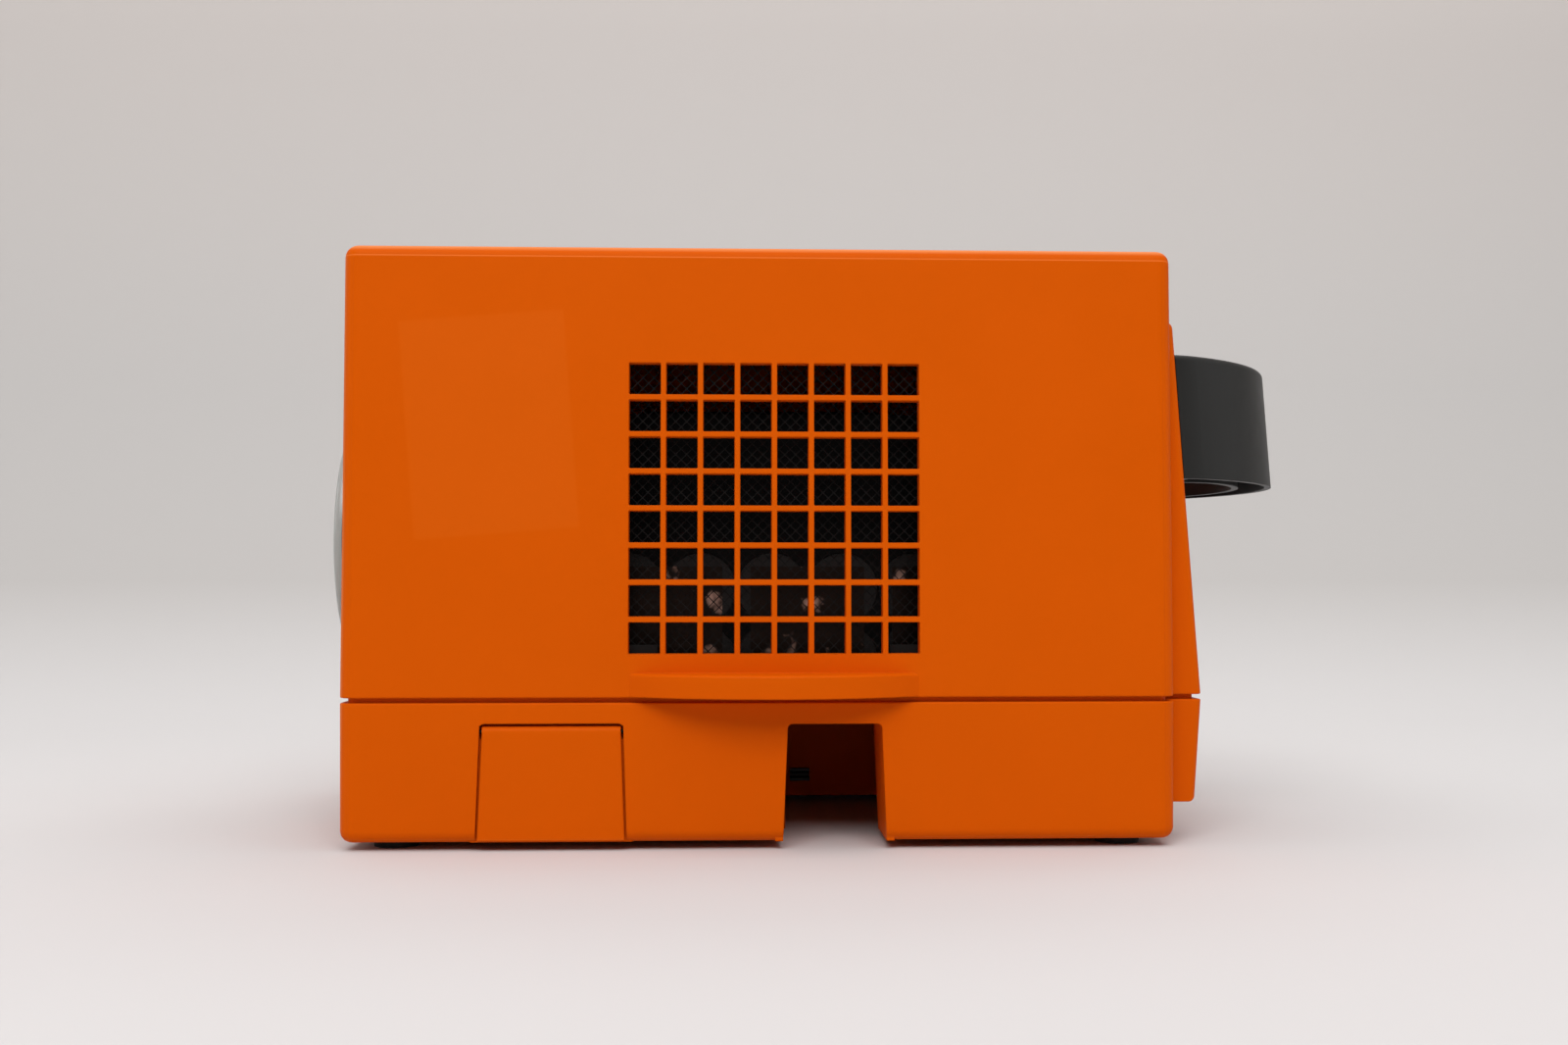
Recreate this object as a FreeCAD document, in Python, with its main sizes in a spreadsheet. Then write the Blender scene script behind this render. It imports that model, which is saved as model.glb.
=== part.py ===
import FreeCAD, Part

import math
import os
import re

import Sketcher
from FreeCAD import Placement, Rotation, Vector

# A portable power station, standing on its feet.  +X points to the nose that carries the
# controls and the handle, +Y to the far long side, +Z up.  It is drawn with the origin on the
# floor under the centre of the housing, and written out with the origin under the middle of
# its whole length.  All sizes are in millimetres and degrees.

SIZES = {
    # housing
    "housing_length": (300, "length of the housing at the seam"),
    "housing_width": (200, "width of the housing at the seam"),
    "housing_top": (216.5, "height of the lid above the floor"),
    "foot_height": (3, "gap between the floor and the base"),
    "seam_height": (52.4, "height of the top edge of the lower shell"),
    "seam_gap": (1.8, "open height of the groove between the shells"),
    "seam_depth": (2.8, "depth of that groove"),
    "seam_round": (0.5, "rounding of the shell edges at the groove"),
    "corner_round": (5.5, "radius of the upright corners"),
    "lid_round": (4.6, "radius of the lid's edges"),
    "base_round": (4.2, "radius of the base's edges"),
    "upper_draft": (0.1, "draft of the upper shell"),
    "lower_draft": (0.6, "draft of the lower shell"),
    "upper_wall": (2.5, "wall of the upper shell"),
    "lower_wall": (3, "wall of the lower shell"),
    "tongue_wall": (2, "thickness of the lower shell's tongue"),
    "tongue_rise": (6, "height of the tongue above the groove"),
    "tongue_root": (4, "depth of the tongue below the groove"),
    # nose
    "nose_reach": (13, "how far the nose stands out at the seam"),
    "nose_width": (175, "width of the nose"),
    "nose_slope": (3.9, "backward lean of the nose's face"),
    "nose_top": (192.5, "height of the top of the nose"),
    "nose_base": (14.9, "height of the underside of the nose"),
    "nose_chin": (2.8, "how far the nose draws in towards its underside"),
    "nose_round": (3, "radius of the nose's edges"),
    # side grilles
    "grille_x": (4.8, "middle of both grilles along the housing"),
    "grille_z": (121.9, "middle of both grilles above the floor"),
    "cell_size": (11.4, "opening of one grille cell"),
    "cell_pitch": (13.3, "spacing of the grille cells"),
    "cell_count": (8, "cells in a row and in a column"),
    "cell_round": (0.4, "corner radius of a cell"),
    "cell_draft": (2, "draft of a cell's walls"),
    "rib_depth": (5, "depth of the grille ribs"),
    "grille_rim": (3, "rim around the cells"),
    "ledge_span": (103.5, "length of the ledge under a grille"),
    "ledge_sag": (17, "how far the middle of the ledge stands out"),
    "ledge_low": (54.5, "underside of the ledge"),
    "ledge_height": (8.4, "height of the ledge"),
    "ledge_round": (1.2, "rounding of the ledge's upper edge"),
    "mesh_sheet": (0.8, "thickness of the grille mesh"),
    "mesh_frame": (1.2, "thickness of the frame that holds the mesh off the ribs"),
    "mesh_tab": (3.2, "height of the tabs in the frame's lower corners"),
    # feet, posts and case screws
    "post_x": (132, "case screws from the middle, along the housing"),
    "post_y": (82, "case screws from the middle, across the housing"),
    "post_radius": (6, "radius of the screw posts"),
    "boss_height": (30, "height of the upper shell's screw bosses"),
    "foot_radius": (8.5, "radius of a rubber foot"),
    "foot_seat": (1.5, "depth of the recess that holds a foot"),
    "screw_radius": (2, "radius of the case screws"),
    "screw_head": (3.9, "radius of a case screw's head"),
    "head_depth": (6, "depth of the case screw heads above the base"),
    # cord bay
    "notch_middle": (26.5, "middle of the cord notch"),
    "notch_top_width": (33.7, "width of the cord notch at its top"),
    "notch_foot_width": (37.4, "width of the cord notch at the base"),
    "notch_top": (44.8, "height of the top of the notch and of the bay"),
    "notch_round": (1.8, "radius of the notch's upper corners"),
    "neck_depth": (33, "depth of the neck behind the notch"),
    "bay_left": (7, "left wall of the cord bay"),
    "bay_right": (118, "right wall of the cord bay"),
    "bay_back": (33, "back wall of the cord bay"),
    "bay_wall": (2.7, "walls and roof of both bays"),
    # service door and its bay
    "door_middle": (-74.5, "middle of the service door"),
    "door_top_width": (49.1, "width of the door at its top"),
    "door_foot_width": (52.2, "width of the door at the base"),
    "door_top": (44.2, "height of the top of the door"),
    "door_foot": (3.5, "height of the foot of the door"),
    "door_wall": (2.3, "thickness of the door"),
    "door_gap": (0.9, "gap around the door"),
    "door_round": (0.8, "rounding of the door's front edges"),
    "door_barrel": (2, "radius of the door's hinge barrel"),
    "door_pin": (0.75, "radius of the door's hinge pin"),
    "door_bite": (2.6, "length of the pin inside each wall"),
    "service_depth": (38, "depth of the service bay behind the door"),
    "service_rim": (2.4, "rim of the service bay that stops the door"),
    "service_low": (7, "floor of the service bay"),
    "service_high": (38, "roof of the service bay"),
    # handle
    "handle_low": (134, "underside of the handle"),
    "handle_height": (46.3, "height of the handle's grip"),
    "handle_width": (171.3, "width of the handle over its roots"),
    "handle_inside": (120, "width between the handle's roots"),
    "handle_reach": (56.1, "how far the handle stands out"),
    "handle_curve": (95, "radius of the handle's front"),
    "handle_corner": (30, "radius of the handle's outer corners"),
    "handle_crook": (22, "radius of the handle's inner corners"),
    "grip_depth": (15.5, "depth of the grip, front to back"),
    "handle_wall": (2.6, "wall of the hollow handle"),
    "handle_round": (2.2, "rounding of the handle's upper edges"),
    "root_u": (73, "handle screws from the middle"),
    "root_v": (13, "handle screws from the handle's mid height"),
    # controls on the nose
    "panel_z": (94, "height of the middle of the control panel"),
    "panel_width": (150, "width of the control panel"),
    "panel_height": (64, "height of the control panel"),
    "panel_lap": (3, "how far the panel laps over its opening"),
    "panel_proud": (1.6, "thickness of the panel outside the nose"),
    "panel_tub": (3, "depth of the panel inside its opening"),
    "panel_round": (5, "corner radius of the panel"),
    "rocker_u": (-62, "main switch across the panel"),
    "rocker_width": (9.6, "width of the rocker"),
    "rocker_height": (16, "height of the rocker"),
    "outlet_u": (-30, "mains outlet across the panel"),
    "outlet_radius": (19, "radius of the mains outlet's body"),
    "display_u": (20, "display across the panel"),
    "display_v": (17, "display up the panel"),
    "display_width": (44, "width of the display window"),
    "display_height": (20, "height of the display window"),
    "button_v": (-3, "buttons up the panel"),
    "button_radius": (4.5, "radius of the buttons"),
    "button_travel": (1.2, "travel of the buttons"),
    "usb_v": (-20, "USB ports up the panel"),
    "port_first_u": (4, "first column of buttons and ports"),
    "port_pitch": (16, "spacing of the columns"),
    "socket_u": (58, "12 volt socket across the panel"),
    "socket_v": (12, "12 volt socket up the panel"),
    "socket_bore": (10.65, "radius of the 12 volt socket's bore"),
    "socket_body": (12, "radius of the 12 volt socket's body"),
    "socket_flange": (13.5, "radius of the 12 volt socket's flange"),
    "lid_hinge_v": (16.2, "hinge of the socket's lid above the socket's middle"),
    "knob_v": (-19, "dimmer up the panel"),
    "knob_radius": (9, "radius of the dimmer knob"),
    "knob_height": (10, "height of the dimmer knob"),
    "board_sheet": (1.6, "thickness of the circuit boards"),
    "board_depth": (10.4, "panel board behind the nose's face"),
    "handle_screw": (2.5, "radius of the handle screws"),
    # rear lamp
    "lamp_height": (112.5, "height of the middle of the lamp"),
    "lamp_tube": (47, "radius of the bezel's tube in the shell"),
    "bezel_radius": (54, "radius of the lamp's bezel"),
    "bezel_depth": (9.8, "depth of the bezel outside the shell"),
    "lens_radius": (49.9, "radius of the lamp's lens"),
    "lens_seat": (5, "lens seat behind the rear face plane, outside the shell"),
    "lamp_reach": (19.2, "how far the lamp stands out"),
    "lens_crown": (6, "height of the lens's dome"),
    "lens_wall": (2.2, "thickness of the lens"),
    # battery pack
    "cell_body": (13, "radius of a battery cell"),
    "cell_length": (65, "length of a battery cell"),
    "cell_step": (26.6, "spacing of the battery cells"),
    "cell_columns": (7, "battery cells side by side"),
    "cell_rows": (2, "battery cells on top of each other"),
    "pack_front": (-72, "near ends of the battery cells"),
    "pack_split": (3, "gap between the near and the far cells"),
    "holder_wall": (3.2, "wall of the cell holders around the outer cells"),
    "holder_depth": (10, "depth of an end holder"),
    "strip_sheet": (0.3, "thickness of the bus strips"),
    "tray_sheet": (3, "thickness of the battery tray"),
    "spacer_height": (4, "height of the board spacers"),
    "board_left": (-88, "left edge of the inverter board"),
    "board_right": (98, "right edge of the inverter board"),
    "board_near": (-70, "near edge of the inverter board"),
    "board_far": (60, "far edge of the inverter board"),
    "shield_top": (158.6, "top of the battery management board"),
    # fan
    "fan_size": (80, "side of the fan"),
    "fan_depth": (20, "depth of the fan"),
    "fan_bore": (38, "radius of the fan's duct"),
    "blade_tip": (36.8, "radius of the blade tips"),
    "hub_radius": (13.5, "radius of the fan's hub"),
    "blade_count": (7, "fan blades"),
    # service bay
    "jack_x": (-85, "charging jack along the housing"),
    "breaker_x": (-65, "breaker along the housing"),
    "service_z": (23, "height of the jack and the breaker"),
    "jack_bore": (2.8, "radius of the charging jack's bore"),
    "reset_radius": (4, "radius of the breaker's reset button"),
    "reset_travel": (2, "travel of the reset button"),
    # mains inlet and cord clip
    "inlet_x": (92, "mains inlet along the housing"),
    "inlet_z": (25, "height of the mains inlet"),
    "clip_x": (20.2, "cord clip along the housing"),
    "clip_z": (12.3, "height of the cord clip"),
    # wires
    "lead_radius": (2, "radius of the battery leads"),
    "mains_radius": (2.6, "radius of the inner mains lead"),
    "lead_bend": (5, "bend radius of the leads"),
    # fits
    "fit_gap": (0.3, "clearance between parts that move or drop in"),
    "pin_gap": (0.05, "radial clearance of a pin in its bore"),
}

doc = FreeCAD.newDocument("power_station")
sheet = doc.addObject("Spreadsheet::Sheet", "Sizes")
probe = doc.addObject("App::FeaturePython", "Probe")
probe.addProperty("App::PropertyFloat", "Value")
NODES = []


def fill_sheet(sizes):
    """Write each named size into the sheet as a plain number with an alias."""
    for row, (alias, (value, note)) in enumerate(sizes.items(), 1 + len(KNOWN)):
        sheet.set(f"A{row}", note)
        sheet.set(f"B{row}", str(value))
        sheet.setAlias(f"B{row}", alias)
        KNOWN.add(alias)
    doc.recompute()


KNOWN = set()
fill_sheet(SIZES)


def ex(text):
    """An expression with the sheet's name put before each alias."""
    return re.sub(r"[a-z]\w*", lambda word: "Sizes." + word.group() if word.group() in KNOWN
                  else word.group(), str(text))


def number(text):
    """The value that an expression has now."""
    probe.setExpression("Value", ex(text))
    probe.recompute()
    return probe.Value


def bind(thing, **sizes):
    """Bind properties of an object to expressions on the sheet."""
    for name, text in sizes.items():
        thing.setExpression(name, ex(text))
    return thing


def put(thing, at, turn=None):
    """Bind the place of an object, with a fixed turn."""
    if turn is not None:
        thing.Placement = Placement(Vector(), turn)
    for axis, text in zip("xyz", at):
        thing.setExpression(f"Placement.Base.{axis}", ex(text))
    return thing


# ---- plain solids ---------------------------------------------------------------------------

TURNS = {
    "z": Rotation(),
    "x": Rotation(Vector(0, 1, 0), 90),
    "-x": Rotation(Vector(0, 1, 0), -90),
    "y": Rotation(Vector(1, 0, 0), -90),
    "-y": Rotation(Vector(1, 0, 0), 90),
}


def span(name, low, high):
    """A box from one corner to the opposite one."""
    solid = doc.addObject("Part::Box", name)
    sides = [f"({b}) - ({a})" for a, b in zip(low, high)]
    bind(solid, Length=sides[0], Width=sides[1], Height=sides[2])
    return put(solid, low)


def block(name, middle, size):
    """A box around a middle point."""
    low = [f"({c}) - ({side}) / 2" for c, side in zip(middle, size)]
    high = [f"({c}) + ({side}) / 2" for c, side in zip(middle, size)]
    return span(name, low, high)


def rod(name, radius, length, at, axis="z"):
    """A cylinder that starts at a point and runs along an axis."""
    solid = doc.addObject("Part::Cylinder", name)
    bind(solid, Radius=radius, Height=length)
    return put(solid, at, TURNS[axis])


def taper(name, radius_low, radius_high, length, at, axis="z"):
    """A cone frustum that starts at a point and runs along an axis."""
    solid = doc.addObject("Part::Cone", name)
    bind(solid, Radius1=radius_low, Radius2=radius_high, Height=length)
    return put(solid, at, TURNS[axis])


def fuse(name, *parts):
    solid = doc.addObject("Part::MultiFuse", name)
    solid.Shapes = list(parts)
    solid.Refine = True
    return solid


def several(name, *parts):
    """Separate solids kept together in one object."""
    group = doc.addObject("Part::Compound", name)
    group.Links = list(parts)
    return group


def cut(name, base, *tools):
    solid = doc.addObject("Part::Cut", name)
    solid.Base = base
    solid.Tool = tools[0] if len(tools) == 1 else fuse(name + "_tools", *tools)
    solid.Refine = True
    return solid


def common(name, one, other):
    solid = doc.addObject("Part::Common", name)
    solid.Base = one
    solid.Tool = other
    return solid


def rounded(name, base, radius, choose):
    """Fillet the edges that a test picks."""
    doc.recompute()
    solid = doc.addObject("Part::Fillet", name)
    solid.Base = base
    size = number(radius)
    solid.Edges = [(i, size, size) for i, edge in enumerate(base.Shape.Edges, 1) if choose(edge)]
    return solid


def upright(edge):
    """True for a straight edge along the object's own Z."""
    line = edge.Vertexes[-1].Point - edge.Vertexes[0].Point
    return abs(line.x) + abs(line.y) < 0.001 < abs(line.z)


def slab(name, middle, size, radius):
    """A box whose upright edges are rounded."""
    return rounded(name + "_slab", block(name, middle, size), radius, upright)


def node(label, solid, place=None):
    """Name a finished sub-part, and set it in place if it is drawn in a frame of its own."""
    if place:
        solid = place(several(label + "_in_place", solid))
    solid.Label = label
    NODES.append(solid)
    return solid


# ---- PartDesign helpers ---------------------------------------------------------------------

def new_body(name):
    return doc.addObject("PartDesign::Body", name)


def sketch_on(body, role, name, offset=("0", "0", "0")):
    """A sketch on one of the body's own origin planes, moved by a bound offset."""
    plane = next(f for f in body.Origin.OriginFeatures if f.Role == role)
    drawing = body.newObject("Sketcher::SketchObject", name)
    drawing.AttachmentSupport = (plane, [""])
    drawing.MapMode = "FlatFace"
    for axis, text in zip("xyz", offset):
        drawing.setExpression(f"AttachmentOffset.Base.{axis}", ex(text))
    return drawing


def dimension(drawing, kind, where, text):
    """Add a dimension that is bound to an expression."""
    index = drawing.addConstraint(Sketcher.Constraint(kind, *where, number(text)))
    drawing.setExpression(f"Constraints[{index}]", ex(text))


def polygon(drawing, points):
    """Straight sides through points whose coordinates are expressions."""
    places = [Vector(number(x), number(y), 0) for x, y in points]
    count = len(places)
    for i in range(count):
        drawing.addGeometry(Part.LineSegment(places[i], places[(i + 1) % count]), False)
    for i in range(count):
        drawing.addConstraint(Sketcher.Constraint("Coincident", i, 2, (i + 1) % count, 1))
    for i, pair in enumerate(points):
        for kind, axis, text in zip(("DistanceX", "DistanceY"), (-2, -1), pair):
            if abs(number(text)) < 1e-9:
                drawing.addConstraint(Sketcher.Constraint("PointOnObject", i, 1, axis))
            else:
                dimension(drawing, kind, (-1, 1, i, 1), text)


def rounded_rectangle(drawing, width, height, radius):
    """A rectangle with round corners, centred on the sketch's origin."""
    x, y, r = number(width) / 2, number(height) / 2, number(radius)
    sides = [((r - x, -y), (x - r, -y)), ((x, r - y), (x, y - r)),
             ((x - r, y), (r - x, y)), ((-x, y - r), (-x, r - y))]
    corners = [(x - r, r - y, -90), (x - r, y - r, 0), (r - x, y - r, 90), (r - x, r - y, 180)]
    for (start, end), (cx, cy, first) in zip(sides, corners):
        circle = Part.Circle(Vector(cx, cy, 0), Vector(0, 0, 1), r)
        arc = Part.ArcOfCircle(circle, math.radians(first), math.radians(first + 90))
        drawing.addGeometry(Part.LineSegment(Vector(*start, 0), Vector(*end, 0)), False)
        drawing.addGeometry(arc, False)
    for side in range(0, 8, 2):
        corner, following = side + 1, (side + 2) % 8
        drawing.addConstraint(Sketcher.Constraint("Tangent", side, 2, corner, 1))
        drawing.addConstraint(Sketcher.Constraint("Tangent", corner, 2, following, 1))
    for side, kind in ((0, "Horizontal"), (2, "Vertical"), (4, "Horizontal"), (6, "Vertical")):
        drawing.addConstraint(Sketcher.Constraint(kind, side))
    for corner in (3, 5, 7):
        drawing.addConstraint(Sketcher.Constraint("Equal", 1, corner))
    drawing.addConstraint(Sketcher.Constraint("Symmetric", 1, 3, 5, 3, -1, 1))
    dimension(drawing, "DistanceX", (6, 1, 2, 1), width)
    dimension(drawing, "DistanceY", (0, 1, 4, 1), height)
    dimension(drawing, "Radius", (1,), radius)


def feature(body, kind, name, profile, length, backward=False, both=False, draft=None):
    """A pad or a pocket with a bound length."""
    step = body.newObject(f"PartDesign::{kind}", name)
    step.Profile = profile
    bind(step, Length=length)
    step.Reversed = backward
    if both:
        step.Midplane = True
    if draft:
        bind(step, TaperAngle=f"-({draft})")
    doc.recompute()
    return step


def fillet(body, name, radius, choose):
    """Fillet the edges of the body's tip that a test picks."""
    base = body.Tip
    names = [f"Edge{i}" for i, edge in enumerate(base.Shape.Edges, 1) if choose(edge)]
    step = body.newObject("PartDesign::Fillet", name)
    step.Base = (base, names)
    bind(step, Radius=radius)
    doc.recompute()
    return step


def mirrored(body, name, original, plane_role):
    """Repeat a feature on the other side of one of the body's planes."""
    step = body.newObject("PartDesign::Mirrored", name)
    step.Originals = [original]
    step.MirrorPlane = (next(f for f in body.Origin.OriginFeatures if f.Role == plane_role), [""])
    body.Tip = step
    doc.recompute()
    return step


def level(edge, height, slack=0.01):
    """True for an edge that lies at one height."""
    return all(abs(point.Point.z - height) < slack for point in edge.Vertexes)


# ---- places that several parts share --------------------------------------------------------

SEAM_TOP = "(seam_height + seam_gap)"
LENGTH_HALF = "(housing_length / 2)"
WIDTH_HALF = "(housing_width / 2)"
NOSE_FOOT = f"({LENGTH_HALF} + nose_reach)"
FIELD = "(cell_pitch * (cell_count - 1) + cell_size)"
BAY_ROOF = "(notch_top + bay_wall)"
RIB_BACK = f"({WIDTH_HALF} - rib_depth)"


def nose_x(height):
    """The X of the nose's sloping face at a height."""
    return f"({NOSE_FOOT} - (({height}) - {SEAM_TOP}) * tan(nose_slope))"


def lean():
    """The turn from upright to the sloping face: local X across, local Y up, local Z out."""
    back = Rotation(Vector(0, 1, 0), -number("nose_slope"))
    return back.multiply(Rotation(Vector(1, 1, 1), 120))


def on_face(height):
    """A placer for parts drawn on the sloping face around a height."""
    return lambda solid: put(solid, (nose_x(height), "0", height), lean())


def corners():
    return [(sx, sy) for sx in (-1, 1) for sy in (-1, 1)]


# ---- upper shell ----------------------------------------------------------------------------

def upper_shell():
    body = new_body("hood")
    outline = sketch_on(body, "XY_Plane", "hood_outline", ("0", "0", SEAM_TOP))
    rounded_rectangle(outline, "housing_length", "housing_width", "corner_round")
    feature(body, "Pad", "hood_block", outline, f"housing_top - {SEAM_TOP}", draft="upper_draft")
    profile = sketch_on(body, "XZ_Plane", "nose_profile")
    inner = f"{LENGTH_HALF} - 4 * upper_wall"
    polygon(profile, [(inner, SEAM_TOP), (NOSE_FOOT, SEAM_TOP), (nose_x("nose_top"), "nose_top"),
                      (inner, "nose_top")])
    feature(body, "Pad", "nose_block", profile, "nose_width", both=True)
    lid = number("housing_top")
    fillet(body, "lid_edges", "lid_round", lambda edge: level(edge, lid))
    half = number("nose_width / 2")
    end = number(LENGTH_HALF)
    top = number("nose_top")

    def nose_edge(edge):
        points = [vertex.Point for vertex in edge.Vertexes]
        outside = max(p.x for p in points) > end + 1
        side = all(abs(abs(p.y) - half) < 0.01 for p in points)
        return outside and (side or level(edge, top)) and max(p.z for p in points) > top - 0.01

    fillet(body, "nose_edges", "nose_round", nose_edge)
    seam = number(SEAM_TOP)
    fillet(body, "seam_edges", "seam_round", lambda edge: level(edge, seam))
    hollow = sketch_on(body, "XY_Plane", "hood_hollow", ("0", "0", SEAM_TOP))
    rounded_rectangle(hollow, "housing_length - 2 * upper_wall", "housing_width - 2 * upper_wall",
                      "corner_round - upper_wall")
    feature(body, "Pocket", "hood_cavity", hollow, f"housing_top - upper_wall - {SEAM_TOP}",
            backward=True, draft="upper_draft")
    inside = sketch_on(body, "XZ_Plane", "nose_inside")
    start = f"{LENGTH_HALF} - 3 * upper_wall"
    skin = "upper_wall / cos(nose_slope)"
    roof = "nose_top - upper_wall"
    polygon(inside, [(start, SEAM_TOP), (f"{NOSE_FOOT} - {skin}", SEAM_TOP),
                     (f"{nose_x(roof)} - {skin}", roof), (start, roof)])
    feature(body, "Pocket", "nose_cavity", inside, "nose_width - 2 * upper_wall", both=True)
    pad_sketch = sketch_on(body, "XZ_Plane", "rib_field", ("grille_x", "grille_z",
                                                           f"{WIDTH_HALF} - upper_wall"))
    rounded_rectangle(pad_sketch, f"{FIELD} + 2 * grille_rim", f"{FIELD} + 2 * grille_rim",
                      "corner_round")
    pad = feature(body, "Pad", "rib_pad", pad_sketch, "rib_depth - upper_wall", backward=True)
    mirrored(body, "rib_pads", pad, "XZ_Plane")
    ledge = sketch_on(body, "XY_Plane", "ledge_plan", ("grille_x", f"-{WIDTH_HALF}", "ledge_low"))
    bow(ledge, "ledge_span", "ledge_sag", "upper_wall / 2")
    shelf = feature(body, "Pad", "ledge", ledge, "ledge_height")
    mirrored(body, "ledges", shelf, "XZ_Plane")
    outer = number(WIDTH_HALF) + 2
    crest = number("ledge_low + ledge_height")
    fillet(body, "ledge_rims", "ledge_round",
           lambda edge: abs(edge.CenterOfMass.y) > outer and level(edge, crest))
    first = f"grille_x - {FIELD} / 2 + cell_size / 2"
    foot = f"grille_z - {FIELD} / 2 + cell_size / 2"
    cell = sketch_on(body, "XZ_Plane", "cell", (first, foot, WIDTH_HALF))
    rounded_rectangle(cell, "cell_size", "cell_size", "cell_round")
    opening = feature(body, "Pocket", "cells", cell, "rib_depth + 1", draft="cell_draft")
    grid = body.newObject("PartDesign::MultiTransform", "grilles")
    grid.Originals = [opening]
    steps = []
    for name, axis in (("columns", "H_Axis"), ("rows", "V_Axis")):
        row = body.newObject("PartDesign::LinearPattern", name)
        row.Direction = (cell, [axis])
        row.Mode = "Spacing"
        bind(row, Offset="cell_pitch", Occurrences="cell_count")
        steps.append(row)
    far = body.newObject("PartDesign::Mirrored", "far_grille")
    far.MirrorPlane = (next(f for f in body.Origin.OriginFeatures if f.Role == "XZ_Plane"), [""])
    grid.Transformations = steps + [far]
    body.Tip = grid
    eye = sketch_on(body, "YZ_Plane", "lamp_hole", ("0", "lamp_height", f"-({LENGTH_HALF} + 1)"))
    eye.addGeometry(Part.Circle(Vector(), Vector(0, 0, 1), number("lamp_tube + fit_gap")), False)
    eye.addConstraint(Sketcher.Constraint("Coincident", 0, 3, -1, 1))
    dimension(eye, "Radius", (0,), "lamp_tube + fit_gap")
    feature(body, "Pocket", "lamp_seat", eye, "4 * upper_wall", backward=True)
    bosses = []
    for sx, sy in corners():
        at = (f"{sx} * post_x", f"{sy} * post_y")
        bosses.append(rod("boss", "post_radius", "boss_height", (*at, SEAM_TOP)))
        ends = sorted((f"{sy} * post_y", f"{sy} * ({WIDTH_HALF} - upper_wall / 2)"), key=number)
        bosses.append(span("boss_rib", (f"{sx} * post_x - 1.5", ends[0],
                                        f"{SEAM_TOP} + tongue_rise + 1"),
                           (f"{sx} * post_x + 1.5", ends[1], f"{SEAM_TOP} + boss_height")))
    pilots = [rod("pilot", "screw_radius - 0.3", "boss_height - 4",
                  (f"{sx} * post_x", f"{sy} * post_y", SEAM_TOP)) for sx, sy in corners()]
    window = block("panel_window", ("0", "0", "0"),
                   ("panel_width - 2 * panel_lap", "panel_height - 2 * panel_lap",
                    "4 * upper_wall"))
    hole = on_face("panel_z")(several("panel_hole", window))
    screw_holes = [rod("handle_screw_hole", "handle_screw + 0.3", "4 * upper_wall",
                       (f"{sx} * root_u", f"{sy} * root_v", "-2 * upper_wall"))
                   for sx, sy in corners()]
    shell = fuse("upper_solid", body, *bosses)
    return node("upper_shell", cut("upper_cut", shell, *pilots, hole,
                                   on_handle(several("handle_screw_holes", *screw_holes))))


def bow(drawing, span_size, sag, sink):
    """A bow that stands out from a straight wall along the sketch's X axis, towards -Y."""
    half, rise = number(span_size) / 2, number(sag)
    radius = (half * half + rise * rise) / (2 * rise)
    angle = math.asin(half / radius)
    circle = Part.Circle(Vector(0, radius - rise, 0), Vector(0, 0, 1), radius)
    arc = Part.ArcOfCircle(circle, 1.5 * math.pi - angle, 1.5 * math.pi + angle)
    deep = number(sink)
    ends = [Vector(-half, 0, 0), Vector(half, 0, 0), Vector(half, deep, 0), Vector(-half, deep, 0)]
    drawing.addGeometry(arc, False)
    for i in (1, 2, 3):
        drawing.addGeometry(Part.LineSegment(ends[i], ends[(i + 1) % 4]), False)
    for i in range(4):
        drawing.addConstraint(Sketcher.Constraint("Coincident", i, 2, (i + 1) % 4, 1))
    drawing.addConstraint(Sketcher.Constraint("PointOnObject", 0, 1, -1))
    drawing.addConstraint(Sketcher.Constraint("PointOnObject", 0, 2, -1))
    drawing.addConstraint(Sketcher.Constraint("Vertical", 1))
    drawing.addConstraint(Sketcher.Constraint("Horizontal", 2))
    drawing.addConstraint(Sketcher.Constraint("Vertical", 3))
    drawing.addConstraint(Sketcher.Constraint("Symmetric", 0, 1, 0, 2, -2))
    dimension(drawing, "DistanceX", (0, 1, 0, 2), span_size)
    dimension(drawing, "DistanceY", (0, 2, 1, 2), sink)
    dimension(drawing, "Radius", (0,), f"(({span_size})^2 / 4 + ({sag})^2) / (2 * ({sag}))")


# ---- lower shell ----------------------------------------------------------------------------

def trapezoid_form(name, middle, top_width, foot_width, top, depth, front, radius, low="foot_height"):
    """A block with leaning sides and round upper corners, from a front plane inwards."""
    body = new_body(name)
    drawing = sketch_on(body, "XZ_Plane", name + "_outline", (middle, "0", f"-({front})"))
    polygon(drawing, [(f"-({foot_width}) / 2", low), (f"({foot_width}) / 2", low),
                      (f"({top_width}) / 2", top), (f"-({top_width}) / 2", top)])
    feature(body, "Pad", name + "_block", drawing, depth, backward=True)
    height = number(top)
    fillet(body, name + "_corners", radius,
           lambda edge: level(edge, height) and abs(edge.tangentAt(edge.FirstParameter).y) > 0.9)
    return body


def seam_ring(name, inset_text, lean_text, low, high, radius=None):
    """The outline of both housing and nose at the seam, drawn in by an inset, as a block."""
    width = f"{WIDTH_HALF} - ({inset_text})"
    main = span(name + "_main", (f"({inset_text}) - {LENGTH_HALF}", f"-({width})", low),
                (f"{LENGTH_HALF} - ({inset_text})", width, high))
    if radius:
        main = rounded(name + "_corners", main, radius, upright)
    side = f"nose_width / 2 - ({inset_text})"
    nose = span(name + "_nose", ("0", f"-({side})", low),
                (f"{NOSE_FOOT} - ({inset_text}) - ({lean_text})", side, high))
    return fuse(name, main, nose)


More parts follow.
